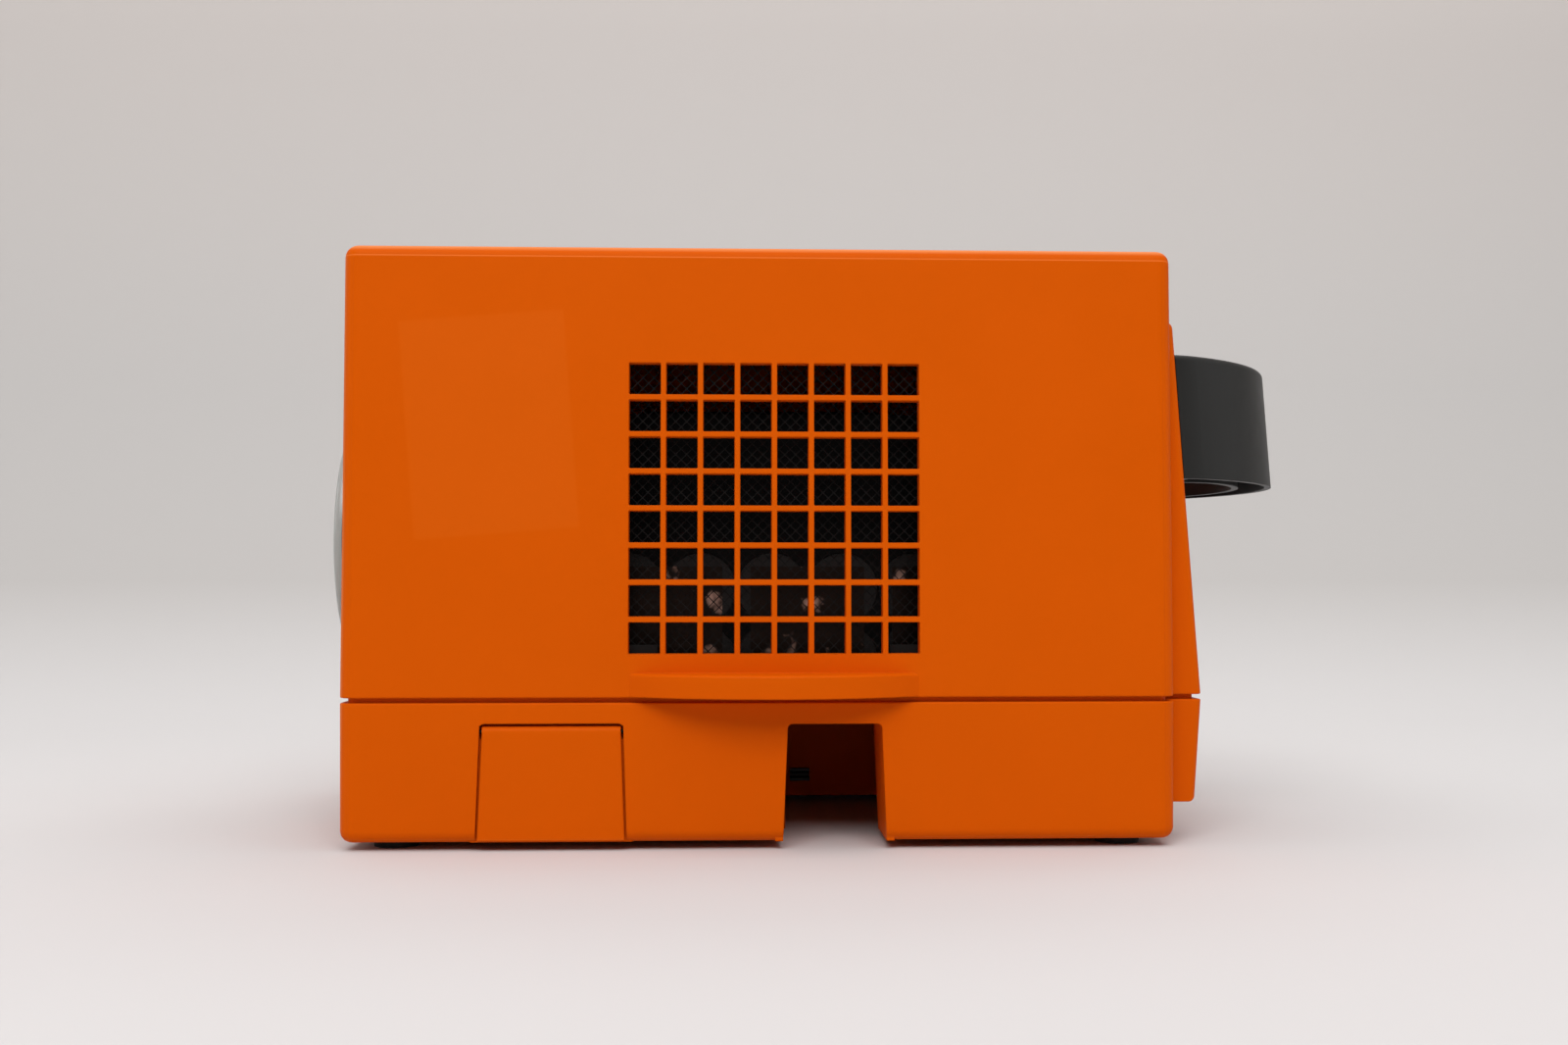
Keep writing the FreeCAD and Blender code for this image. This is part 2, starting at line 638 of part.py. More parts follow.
def lower_shell():
    body = new_body("base")
    outline = sketch_on(body, "XY_Plane", "base_outline", ("0", "0", "seam_height"))
    rounded_rectangle(outline, "housing_length", "housing_width", "corner_round")
    feature(body, "Pad", "base_block", outline, "seam_height - foot_height", backward=True,
            draft="lower_draft")
    profile = sketch_on(body, "XZ_Plane", "chin_profile")
    inner = f"{LENGTH_HALF} - 4 * lower_wall"
    polygon(profile, [(inner, "nose_base"), (f"{NOSE_FOOT} - nose_chin", "nose_base"),
                      (NOSE_FOOT, "seam_height"), (inner, "seam_height")])
    feature(body, "Pad", "chin_block", profile, "nose_width", both=True)
    floor = number("foot_height")
    fillet(body, "base_edges", "base_round", lambda edge: level(edge, floor))
    half = number("nose_width / 2")
    end = number(LENGTH_HALF) + 1
    chin = number("nose_base")

    def chin_edge(edge):
        points = [vertex.Point for vertex in edge.Vertexes]
        outside = all(p.x > end for p in points)
        side = all(abs(abs(p.y) - half) < 0.01 for p in points)
        return outside and (side or level(edge, chin)) and not level(edge, number("seam_height"))

    fillet(body, "chin_edges", "nose_round", chin_edge)
    seam = number("seam_height")
    fillet(body, "seam_edges", "seam_round", lambda edge: level(edge, seam))
    hollow = sketch_on(body, "XY_Plane", "base_hollow", ("0", "0", "seam_height"))
    rounded_rectangle(hollow, "housing_length - 2 * lower_wall", "housing_width - 2 * lower_wall",
                      "corner_round - lower_wall")
    feature(body, "Pocket", "base_cavity", hollow, "seam_height - foot_height - lower_wall",
            draft="lower_draft")
    inside = sketch_on(body, "XZ_Plane", "chin_inside")
    start = f"{LENGTH_HALF} - 3 * lower_wall"
    polygon(inside, [(start, "nose_base + lower_wall"),
                     (f"{NOSE_FOOT} - nose_chin - lower_wall", "nose_base + lower_wall"),
                     (f"{NOSE_FOOT} - lower_wall", "seam_height"), (start, "seam_height")])
    feature(body, "Pocket", "chin_cavity", inside, "nose_width - 2 * lower_wall", both=True)
    low, high = "seam_height - tongue_root", f"{SEAM_TOP} + tongue_rise"
    slope = "tongue_rise * tan(nose_slope)"
    tongue = cut("tongue", seam_ring("tongue_outside", "seam_depth", slope, low, high,
                                     "corner_round - seam_depth"),
                 seam_ring("tongue_inside", "seam_depth + tongue_wall", slope, f"{low} - 1",
                           f"{high} + 1"))
    front = f"-{WIDTH_HALF}"
    neck_back = f"({front} + neck_depth)"
    neck = span("neck_casing",
                ("notch_middle - notch_foot_width / 2 - bay_wall", f"{front} + lower_wall / 2",
                 "foot_height"),
                ("notch_middle + notch_foot_width / 2 + bay_wall", neck_back, BAY_ROOF))
    bay = span("bay_casing", ("bay_left - bay_wall", f"{neck_back} - bay_wall", "foot_height"),
               ("bay_right + bay_wall", "bay_back + bay_wall", BAY_ROOF))
    service_half = "door_foot_width / 2 + bay_wall"
    rim_front = f"({front} + door_wall + fit_gap)"
    service_back = f"({front} + service_depth)"
    service = span("service_casing",
                   (f"door_middle - ({service_half})", rim_front, "foot_height"),
                   (f"door_middle + {service_half}", f"{service_back} + bay_wall", BAY_ROOF))
    posts = [rod("post", "post_radius", f"{SEAM_TOP} - foot_height - lower_wall / 2",
                 (f"{sx} * post_x", f"{sy} * post_y", "foot_height + lower_wall / 2"))
             for sx, sy in corners()]
    pillars = [rod("tray_pillar", "5", f"{BAY_ROOF} - foot_height - lower_wall / 2",
                   ("door_middle", y, "foot_height + lower_wall / 2")) for y in ("-20", "50")]
    solid = fuse("lower_solid", body, tongue, neck, bay, service, *posts, *pillars)
    notch = trapezoid_form("notch_form", "notch_middle", "notch_top_width", "notch_foot_width",
                           "notch_top", "neck_depth + 1", f"{front} - 1", "notch_round", "-1")
    chamber = slab("bay_form", ("(bay_left + bay_right) / 2", f"({neck_back} + bay_back) / 2",
                                "notch_top / 2 - 1"),
                   ("bay_right - bay_left", f"bay_back - {neck_back}", "notch_top + 2"), "3")
    doorway = trapezoid_form("door_form", "door_middle", "door_top_width + 2 * door_gap",
                             "door_foot_width + 2 * door_gap", "door_top + door_gap",
                             "1 + door_wall + fit_gap", f"{front} - 1", "door_barrel", "-1")
    cupboard = span("service_form",
                    ("door_middle - door_top_width / 2 + service_rim", f"{front}", "service_low"),
                    ("door_middle + door_top_width / 2 - service_rim", service_back,
                     "service_high"))
    barrel = rod("barrel_space", "door_barrel + door_gap", "door_top_width + 2 * door_gap",
                 ("door_middle - door_top_width / 2 - door_gap", HINGE_Y, HINGE_Z), "x")
    pin_hole = rod("pin_space", "door_pin", PIN_LENGTH, (PIN_START, HINGE_Y, HINGE_Z), "x")
    drills = []
    for sx, sy in corners():
        at = (f"{sx} * post_x", f"{sy} * post_y")
        drills.append(rod("screw_hole", "screw_radius + 0.2", SEAM_TOP, (*at, "0")))
        drills.append(rod("head_hole", "screw_head + 0.2", "foot_height + head_depth", (*at, "0")))
        drills.append(rod("foot_recess", "foot_radius + 0.1", "foot_height + foot_seat",
                          (*at, "0")))
    back = f"{service_back} - 1"
    jack_hole = rod("jack_hole", "jack_bore + 2", "bay_wall + 2", ("jack_x", back, "service_z"), "y")
    reset_hole = rod("reset_hole", "reset_radius + 2", "bay_wall + 2",
                     ("breaker_x", back, "service_z"), "y")
    inlet_hole = block("inlet_hole", ("inlet_x", "bay_back + bay_wall / 2", "inlet_z"),
                       ("22.6", "bay_wall + 2", "15.6"))
    return node("lower_shell", cut("lower_cut", solid, notch, chamber, doorway, cupboard, barrel,
                                   pin_hole, *drills, jack_hole, reset_hole, inlet_hole))


HINGE_Y = f"(door_barrel - {WIDTH_HALF})"
HINGE_Z = "(door_top - door_barrel)"
PIN_START = "(door_middle - door_top_width / 2 - door_gap - door_bite)"
PIN_LENGTH = "(door_top_width + 2 * door_gap + 2 * door_bite)"


def on_handle(solid):
    """Place a part drawn on the sloping face around the handle's mid height."""
    middle = "(handle_low + handle_height / 2)"
    return put(solid, (nose_x(middle), "0", middle), lean())


def rubber_feet():
    feet = []
    for sx, sy in corners():
        at = (f"{sx} * post_x", f"{sy} * post_y")
        feet.append(taper("foot", "foot_radius - 0.6", "foot_radius", "foot_height + foot_seat",
                          (*at, "0")))
    return node("rubber_feet", several("feet", *feet))


def screw(name, radius, length, head, head_height, at, axis="z"):
    """A pan head screw that starts at its head's outer face."""
    turn = TURNS[axis]
    shaft = rod(name + "_shaft", radius, length, ("0", "0", "0"))
    cap = rod(name + "_head", head, head_height, ("0", "0", "0"))
    drive = rod(name + "_drive", f"({head}) * 0.45", f"({head_height}) * 0.6", ("0", "0", "-0.001"))
    whole = cut(name, fuse(name + "_solid", shaft, cap), drive)
    return put(whole, at, turn)


def case_screws():
    screws = [screw("case_screw", "screw_radius - 0.35", "boss_height + 40", "screw_head", "2.6",
                    (f"{sx} * post_x", f"{sy} * post_y", "foot_height + head_depth - 2.6"))
              for sx, sy in corners()]
    return node("case_screws", several("screws", *screws))


# ---- carrying handle ------------------------------------------------------------------------

def grip_corner(start_y, radius, main_x, main_radius):
    """The centre of a corner arc from the root line that runs smoothly into the main arc."""
    gap = main_radius - radius
    distance = math.hypot(main_x, start_y)
    along = (radius ** 2 - gap ** 2 + distance ** 2) / (2 * distance)
    across = math.sqrt(max(radius ** 2 - along ** 2, 0))
    ux, uy = main_x / distance, -start_y / distance
    choices = [(along * ux - side * across * uy, start_y + along * uy + side * across * ux)
               for side in (-1, 1)]
    return max(choices, key=lambda point: point[0])


def grip_edge(drawing, half_text, corner_text, radius_text, centre_text):
    """Three smooth arcs from one root to the other."""
    half, corner = number(half_text), number(corner_text)
    radius, centre = number(radius_text), number(centre_text)
    cx, cy = grip_corner(-half, corner, centre, radius)
    first = drawing.GeometryCount
    join = math.atan2(cy, cx - centre)
    start = math.atan2(-half - cy, -cx)

    def arc(x, y, r, low, high):
        circle = Part.Circle(Vector(x, y, 0), Vector(0, 0, 1), r)
        return Part.ArcOfCircle(circle, low, high)

    drawing.addGeometry(arc(cx, cy, corner, start, join), False)
    drawing.addGeometry(arc(centre, 0, radius, join, -join), False)
    drawing.addGeometry(arc(cx, -cy, corner, -join, -start), False)
    near, main, far = first, first + 1, first + 2
    drawing.addConstraint(Sketcher.Constraint("Tangent", near, 2, main, 1))
    drawing.addConstraint(Sketcher.Constraint("Tangent", main, 2, far, 1))
    drawing.addConstraint(Sketcher.Constraint("PointOnObject", near, 1, -2))
    drawing.addConstraint(Sketcher.Constraint("PointOnObject", main, 3, -1))
    drawing.addConstraint(Sketcher.Constraint("Equal", near, far))
    drawing.addConstraint(Sketcher.Constraint("Symmetric", near, 1, far, 2, -1))
    dimension(drawing, "DistanceX", (-1, 1, main, 3), centre_text)
    dimension(drawing, "Radius", (main,), radius_text)
    dimension(drawing, "Radius", (near,), corner_text)
    dimension(drawing, "DistanceY", (near, 1, far, 2), f"2 * ({half_text})")
    return near, far


def sheared(name, profile, height):
    """Raise a plan along the nose's slope, so its top and bottom stay level."""
    solid = doc.addObject("Part::Extrusion", name)
    solid.Base = profile
    solid.DirMode = "Custom"
    solid.Dir = Vector(-math.tan(math.radians(number("nose_slope"))), 0, 1)
    solid.Solid = True
    bind(solid, LengthFwd=f"({height}) / cos(nose_slope)")
    return solid


def carry_handle():
    plan = doc.addObject("Sketcher::SketchObject", "handle_plan")
    put(plan, (nose_x("handle_low"), "0", "handle_low"))
    centre = "handle_reach - handle_curve"
    outer = grip_edge(plan, "handle_width / 2", "handle_corner", "handle_curve", centre)
    inner = grip_edge(plan, "handle_inside / 2", "handle_crook", "handle_curve - grip_depth", centre)
    ends = [(outer[0], 1, inner[0], 1), (outer[1], 2, inner[1], 2)]
    for one, end_one, two, end_two in ends:
        line = plan.addGeometry(Part.LineSegment(plan.getPoint(one, end_one),
                                                 plan.getPoint(two, end_two)), False)
        plan.addConstraint(Sketcher.Constraint("Coincident", line, 1, one, end_one))
        plan.addConstraint(Sketcher.Constraint("Coincident", line, 2, two, end_two))
    doc.recompute()
    grip = sheared("grip", plan, "handle_height")
    doc.recompute()
    top = number("handle_low + handle_height")
    front = number(nose_x("handle_low + handle_height")) + 3
    crowned = rounded("grip_crown", grip, "handle_round",
                      lambda edge: level(edge, top) and edge.CenterOfMass.x > front)
    ring = doc.addObject("Part::Offset2D", "channel_plan")
    ring.Source = plan
    bind(ring, Value="-handle_wall")
    doc.recompute()
    channel = put(sheared("channel", ring, "handle_height - handle_wall + 1"),
                  ("tan(nose_slope)", "0", "-1"))
    hollow = cut("grip_shell", crowned, channel)
    bosses = [rod("root_boss", "5.5", "14", (f"{sx} * root_u", f"{sy} * root_v", "0"))
              for sx, sy in corners()]
    holes = [rod("root_hole", "handle_screw - 0.3", "12",
                 (f"{sx} * root_u", f"{sy} * root_v", "-1")) for sx, sy in corners()]
    solid = fuse("handle_solid", hollow, on_handle(several("root_bosses", *bosses)))
    return node("carry_handle", cut("handle_cut", solid,
                                    on_handle(several("root_holes", *holes))))


def handle_screws():
    under = "upper_wall + 2.4"
    screws = []
    for sx, sy in corners():
        at = (f"{sx} * root_u", f"{sy} * root_v", f"-({under})")
        screws.append(screw("handle_screw", "handle_screw - 0.35", f"{under} + 10",
                            "handle_screw * 2", "2.4", at))
    return node("handle_screws", several("grip_screws", *screws), on_handle)


# ---- control panel, drawn in the frame of the nose's face -----------------------------------

def on_panel(solid):
    """Place a part drawn as (u across, v up, w out) on the face, around the panel's middle."""
    return on_face("panel_z")(solid)


def column(index):
    return f"(port_first_u + {index} * port_pitch)"


def front_panel():
    flange = slab("panel_flange", ("0", "0", "panel_proud / 2"),
                  ("panel_width", "panel_height", "panel_proud"), "panel_round")
    tub = slab("panel_tub_block", ("0", "0", "-panel_tub / 2"),
               ("panel_width - 2 * panel_lap - 0.6", "panel_height - 2 * panel_lap - 0.6",
                "panel_tub"), "panel_round - panel_lap")
    posts = [rod("board_post", "2.5", "board_depth - panel_tub + 0.5", (u, v, "-board_depth"))
             for u, v in BOARD_POSTS]
    through = ("-panel_tub - 1", "panel_proud + 1")
    openings = [
        span("rocker_opening", ("rocker_u - 6.6", "-9.8", through[0]),
             ("rocker_u + 6.6", "9.8", through[1])),
        rod("outlet_opening", "outlet_radius + 0.1", "panel_tub + panel_proud + 2",
            ("outlet_u", "0", through[0])),
        span("display_seat", ("display_u - display_width / 2", "display_v - display_height / 2",
                              "panel_proud - 1.2"),
             ("display_u + display_width / 2", "display_v + display_height / 2", through[1])),
        span("display_opening", ("display_u - display_width / 2 + 2",
                                 "display_v - display_height / 2 + 2", through[0]),
             ("display_u + display_width / 2 - 2", "display_v + display_height / 2 - 2",
              through[1])),
        rod("socket_opening", "socket_body + 0.1", "panel_tub + panel_proud + 2",
            ("socket_u", "socket_v", through[0])),
        rod("knob_opening", "2.3", "panel_tub + panel_proud + 2", ("socket_u", "knob_v",
                                                                    through[0])),
    ]
    for index in range(3):
        openings.append(rod("button_opening", "button_radius + 0.3",
                            "panel_tub + panel_proud + 2", (column(index), "button_v",
                                                            through[0])))
    for index in range(2):
        openings.append(block("usb_a_opening", (column(index), "usb_v", "0"),
                              ("13.3", "5.9", "2 * panel_tub + 2")))
    openings.append(slab("usb_c_opening", (column(2), "usb_v", "0"),
                         ("9.3", "3.5", "2 * panel_tub + 2"), "1.7"))
    solid = fuse("panel_solid", flange, tub, *posts)
    return node("front_panel", cut("panel_cut", solid, *openings), on_panel)


BOARD_POSTS = (("1", "5"), ("40", "5"), ("1", "-11"), ("40", "-11"))


def panel_board():
    board = span("panel_board_sheet", ("-2.5", "-28", "-board_depth - board_sheet"),
                 ("45", "8", "-board_depth"))
    switches = []
    for index in range(3):
        switches.append(block("switch_case", (column(index), "button_v", "-board_depth + 0.1"),
                              ("6", "6", "2.2")))
    return node("panel_board", fuse("panel_board_solid", board, *switches), on_panel)


def rocker_frame():
    flange = slab("rocker_flange", ("rocker_u", "0", "panel_proud + 0.8"), ("15", "21.5", "1.6"),
                  "2")
    well = block("rocker_well", ("rocker_u", "0", "-8.2"), ("13", "19.4", "19.6"))
    hollow = span("rocker_hollow",
                  ("rocker_u - rocker_width / 2 - 0.3", "-rocker_height / 2 - 0.9", "-12"),
                  ("rocker_u + rocker_width / 2 + 0.3", "rocker_height / 2 + 0.9", "9"))
    pin_hole = rod("rocker_pin_hole", "1", "rocker_width + 2.2",
                   ("rocker_u - rocker_width / 2 - 1.1", "0", "-1"), "x")
    blades = [block("rocker_blade", ("rocker_u", v, "-21"), ("6", "0.8", "8"))
              for v in ("-6", "0", "6")]
    solid = fuse("rocker_case", flange, well, *blades)
    return node("rocker_frame", cut("rocker_frame_cut", solid, hollow, pin_hole), on_panel)


def main_rocker():
    """The rocker, drawn at rest with its upper half pressed in."""
    drawing = doc.addObject("Sketcher::SketchObject", "rocker_profile")
    half = "rocker_height / 2"
    polygon(drawing, [(f"-({half})", "-4"), (half, "-4"), (half, "4.4"), ("0", "3.2"),
                      (f"-({half})", "4.4")])
    key = doc.addObject("Part::Extrusion", "rocker_key")
    key.Base = drawing
    key.DirMode = "Custom"
    key.Dir = Vector(0, 0, 1)
    key.Solid = True
    bind(key, LengthFwd="rocker_width")
    turned = put(several("rocker_turned", key), ("0", "0", "0"),
                 Rotation(Vector(1, 1, 1), 120))
    pins = rod("rocker_pins", "0.93", "rocker_width + 2", ("-1", "0", "0"), "x")
    whole = fuse("rocker_whole", turned, pins)
    tilted = put(several("rocker_tilted", whole), ("rocker_u - rocker_width / 2", "0", "-1"),
                 Rotation(Vector(1, 0, 0), -8))
    return node("main_rocker", tilted, on_panel)


def ac_outlet():
    radius = "outlet_radius"
    body = rod("outlet_body", radius, "22", ("outlet_u", "0", "-20"))
    flange = rod("outlet_flange", f"{radius} + 2.5", "1.8", ("outlet_u", "0", "panel_proud"))
    face = "panel_proud + 1.8"
    well = rod("outlet_well", f"{radius} - 2", "2", ("outlet_u", "0", f"{face} - 1.2"))
    left = block("slot_wide", ("outlet_u - 6.3", "3", f"{face} - 8"), ("2.4", "8.8", "18"))
    right = block("slot_narrow", ("outlet_u + 6.3", "3", f"{face} - 8"), ("2.2", "7.2", "18"))
    ground = rod("slot_ground", "2.5", "18", ("outlet_u", "-8.5", f"{face} - 17"))
    tails = [block("outlet_tail", (f"outlet_u + {u}", "0", "-24"), ("6", "0.8", "9"))
             for u in ("6.3", "-6.3")]
    solid = fuse("outlet_solid", body, flange, *tails)
    return node("ac_outlet", cut("outlet_cut", solid, well, left, right, ground), on_panel)


def display_window():
    pane = block("display_pane", ("display_u", "display_v", "panel_proud - 0.6"),
                 ("display_width - 0.2", "display_height - 0.2", "1.2"))
    return node("display_window", pane, on_panel)


def display_module():
    glass = block("display_glass", ("display_u", "display_v", "-0.9"),
                  ("display_width - 4.6", "display_height - 4.6", "2.6"))
    board = span("display_board", ("display_u - display_width / 2 - 1",
                                   "display_v - display_height / 2 + 1.6", "-5"),
                 ("display_u + display_width / 2 + 1", "display_v + display_height / 2 + 1",
                  "-panel_tub"))
    return node("display_module", fuse("display_solid", glass, board), on_panel)


def button(label, index):
    """A push button with a flange behind the panel."""
    at = (column(index), "button_v")
    cap = rod(label + "_cap", "button_radius", "panel_tub + panel_proud + 1.5",
              (*at, "-panel_tub - 0.3"))
    flange = rod(label + "_flange", "button_radius + 1.3", "1", (*at, "-panel_tub - 1.3"))
    stem = rod(label + "_stem", "1.6", "3", (*at, "-panel_tub - 4.3"))
    edge = number("panel_proud + 1.2")
    solid = fuse(label + "_solid", cap, flange, stem)
    crowned = rounded(label + "_round", solid, "0.6", lambda e: level(e, edge))
    return node(label, crowned, on_panel)


def usb_a_ports():
    ports = []
    for index in range(2):
        shell = block("usb_a_shell", (column(index), "usb_v", "-4.7"), ("13.1", "5.7", "11.4"))
        mouth = block("usb_a_mouth", (column(index), "usb_v", "-3.7"), ("12.5", "5.1", "11.4"))
        tongue = block("usb_a_tongue", (column(index), "usb_v + 1.1", "-5"),
                       ("11.1", "1.84", "10"))
        ports.append(fuse("usb_a_port", cut("usb_a_can", shell, mouth), tongue))
    return node("usb_a_ports", several("usb_a_pair", *ports), on_panel)


def usb_c_port():
    shell = slab("usb_c_shell", (column(2), "usb_v", "-4.7"), ("9.1", "3.3", "11.4"), "1.6")
    mouth = slab("usb_c_mouth", (column(2), "usb_v", "-3.7"), ("8.4", "2.6", "11.4"), "1.25")
    tongue = block("usb_c_tongue", (column(2), "usb_v", "-5.5"), ("6.7", "0.7", "9.2"))
    return node("usb_c_port", fuse("usb_c_solid", cut("usb_c_can", shell, mouth), tongue),
                on_panel)


def dc_socket():
    at = ("socket_u", "socket_v")
    body = rod("socket_barrel", "socket_body", "30 + panel_proud", (*at, "-30"))
    flange = rod("socket_ring", "socket_flange", "1.6", (*at, "panel_proud"))
    lugs = [block("hinge_lug", (f"socket_u + {u}", "socket_v + lid_hinge_v - 1.4",
                                "panel_proud + 1.9"), ("2", "5.6", "3.8")) for u in ("-4", "4")]
    bore = rod("socket_hollow", "socket_bore", "40", (*at, "-26"))
    pin_hole = rod("lid_pin_hole", "0.75", "12", ("socket_u - 6", "socket_v + lid_hinge_v",
                                                  LID_HINGE_W), "x")
    lid_room = rod("lug_room", "socket_flange + 2 * fit_gap", "4", (*at, "panel_proud + 1.6"))
    tip = rod("socket_tip", "2.4", "2", (*at, "-26"))
    tail = block("socket_tail", (*at, "-33"), ("6", "0.8", "7"))
    solid = cut("socket_cut", fuse("socket_solid", body, flange, *lugs), bore, pin_hole, lid_room)
    return node("dc_socket", fuse("socket_whole", solid, tip, tail), on_panel)


LID_HINGE_W = "(panel_proud + 2.6)"


def dc_socket_lid():
    at = ("socket_u", "socket_v")
    low = "(panel_proud + 1.8)"
    disc = rod("lid_disc", "socket_flange", "2.2", (*at, low))
    stub = rod("lid_stub", "socket_bore - 0.6", "2", (*at, f"{low} - 2"))
    arm = block("lid_arm", ("socket_u", "socket_v + lid_hinge_v - 3", f"{low} + 1.1"),
                ("5.4", "6", "2.2"))
    barrel = rod("lid_barrel", "1.8", "5.4", ("socket_u - 2.7", "socket_v + lid_hinge_v",
                                              LID_HINGE_W), "x")
    tab = block("lid_tab", ("socket_u", "socket_v - socket_flange - 0.5", f"{low} + 1.1"),
                ("8", "4", "2.2"))
    bore = rod("lid_bore", "0.8", "8", ("socket_u - 4", "socket_v + lid_hinge_v", LID_HINGE_W),
               "x")
    room = rod("lid_room", "socket_flange", "3", (*at, "panel_proud - 1.3"))
    under = cut("lid_arm_cut", fuse("lid_hinge", arm, barrel), room)
    return node("dc_socket_lid", cut("lid_cut", fuse("lid_solid", disc, stub, tab, under), bore),
                on_panel)


def lid_pin():
    pin = rod("lid_pin_rod", "0.74", "10", ("socket_u - 5", "socket_v + lid_hinge_v",
                                            LID_HINGE_W), "x")
    return node("lid_pin", pin, on_panel)


def dimmer_knob():
    at = ("socket_u", "knob_v")
    skirt = rod("knob_skirt", "knob_radius", "2.4", (*at, "panel_proud + 0.4"))
    grip = taper("knob_grip", "knob_radius - 0.6", "knob_radius - 1.6", "knob_height - 2.4",
                 (*at, "panel_proud + 2.8"))
    shaft = rod("knob_shaft", "2", "panel_proud + 9", (*at, "-8"))
    top = number("panel_proud + 0.4 + knob_height")
    mark = block("knob_mark", ("socket_u", "knob_v + knob_radius - 4",
                               "panel_proud + 0.4 + knob_height"), ("1", "5.4", "1"))
    solid = fuse("knob_solid", skirt, grip, shaft)
    crowned = rounded("knob_round", solid, "0.8", lambda edge: level(edge, top))
    flutes = []
    for index in range(12):
        turn = f"{30 * index}"
        flutes.append(rod("knob_flute", "1", "knob_height",
                          (f"socket_u + knob_radius * cos({turn}) * 0.96",
                           f"knob_v + knob_radius * sin({turn}) * 0.96", "panel_proud + 2.8")))
    return node("dimmer_knob", cut("knob_cut", crowned, mark, *flutes), on_panel)


def dimmer_base():
    at = ("socket_u", "knob_v")
    case = block("dimmer_case", (*at, "-9"), ("12", "12", "6"))
    collar = rod("dimmer_collar", "4.5", "6 - panel_tub", (*at, "-6"))
    hole = rod("dimmer_hole", "2.05", "9", (*at, "-9"))
    pins = [block("dimmer_leg", (f"socket_u + {u}", "knob_v - 4", "-14"), ("1", "0.6", "5"))
            for u in ("-3", "0", "3")]
    return node("dimmer_base", cut("dimmer_cut", fuse("dimmer_solid", case, collar, *pins), hole),
                on_panel)


# ---- lamp in the rear face ------------------------------------------------------------------

def rear(distance):
    """The X of a plane in front of the rear face; negative distances lie inside."""
    return f"(-{LENGTH_HALF} - ({distance}))"


def lamp_rod(name, radius, inner, outer):
    """A cylinder along the lamp's axis between two distances from the rear face."""
    return rod(name, radius, f"({outer}) - ({inner})", (rear(outer), "0", "lamp_height"), "x")


def lamp_bezel():
    flange = lamp_rod("bezel_flange", "bezel_radius", "0.1", "bezel_depth")
    doc.recompute()
    front = number(rear("bezel_depth"))
    crowned = rounded("bezel_round", flange, "2.5",
                      lambda edge: len(edge.Vertexes) == 1
                      and abs(edge.CenterOfMass.x - front) < 0.01)
    tube = lamp_rod("bezel_tube", "lamp_tube", "-7", "0.2")
    lip = lamp_rod("bezel_lip", "lamp_tube + 1.4", "-4.8", "-3.2")
    seat = lamp_rod("bezel_seat", "lens_radius + 0.2", "lens_seat", "bezel_depth + 1")
    throat = lamp_rod("bezel_throat", "lamp_tube - 2.5", "-8", "lens_seat + 1")
    return node("lamp_bezel", cut("bezel_cut", fuse("bezel_solid", crowned, tube, lip), seat,
                                  throat))


def lens_form(name, inset):
    """A domed plug: a cylinder capped by a sphere, drawn in by an inset."""
    crown = "((lens_radius ^ 2 + lens_crown ^ 2) / (2 * lens_crown))"
    ball = doc.addObject("Part::Sphere", name + "_ball")
    bind(ball, Radius=f"{crown} - ({inset})")
    put(ball, (rear(f"lamp_reach - {crown}"), "0", "lamp_height"))
    plug = lamp_rod(name + "_plug", f"lens_radius - ({inset})", f"lens_seat - ({inset})",
                    "lamp_reach + 1")
    return common(name, ball, plug)


def lamp_lens():
    dome = lens_form("lens_outside", "0")
    doc.recompute()
    shoulder = number("lens_radius") - 0.01
    edge_x = number(rear("lens_seat")) - 1
    soft = rounded("lens_round", dome, "2.5",
                   lambda edge: edge.BoundBox.ZLength > 2 * shoulder
                   and edge.BoundBox.XLength < 0.01 and edge.CenterOfMass.x < edge_x)
    return node("lamp_lens", cut("lens_cut", soft, lens_form("lens_inside", "lens_wall")))


def lamp_reflector():
    flange = lamp_rod("reflector_flange", "lens_radius - lens_wall - 0.6", "lens_seat",
                      "lens_seat + 1.2")
    high = "(lens_seat + 1.2)"
    outside = taper("reflector_outside", "44.2", "25.2", f"{high} + 6.2", (rear(high), "0",
                                                                          "lamp_height"), "x")
    inside = taper("reflector_inside", "43", "24", f"{high} + 5", (rear(high), "0",
                                                                  "lamp_height"), "x")
    mouth = lamp_rod("reflector_mouth", "43", "lens_seat - 1", f"{high} + 1")
    neck = common("reflector_opening", mouth, lamp_rod("mouth_limit", "60", "lens_seat",
                                                       f"{high} + 1"))
    solid = fuse("reflector_solid", flange, outside)
    return node("lamp_reflector", cut("reflector_cut", solid, inside, neck))


def lamp_board():
    disc = lamp_rod("lamp_disc", "20", "-5", "-3.4")
    chips = [rod("lamp_chip", "2.5", "0.8", (rear("-2.6"), f"12 * cos({60 * i})",
                                             f"lamp_height + 12 * sin({60 * i})"), "x")
             for i in range(6)]
    return node("lamp_board", fuse("lamp_board_solid", disc, *chips))


# ---- grilles --------------------------------------------------------------------------------

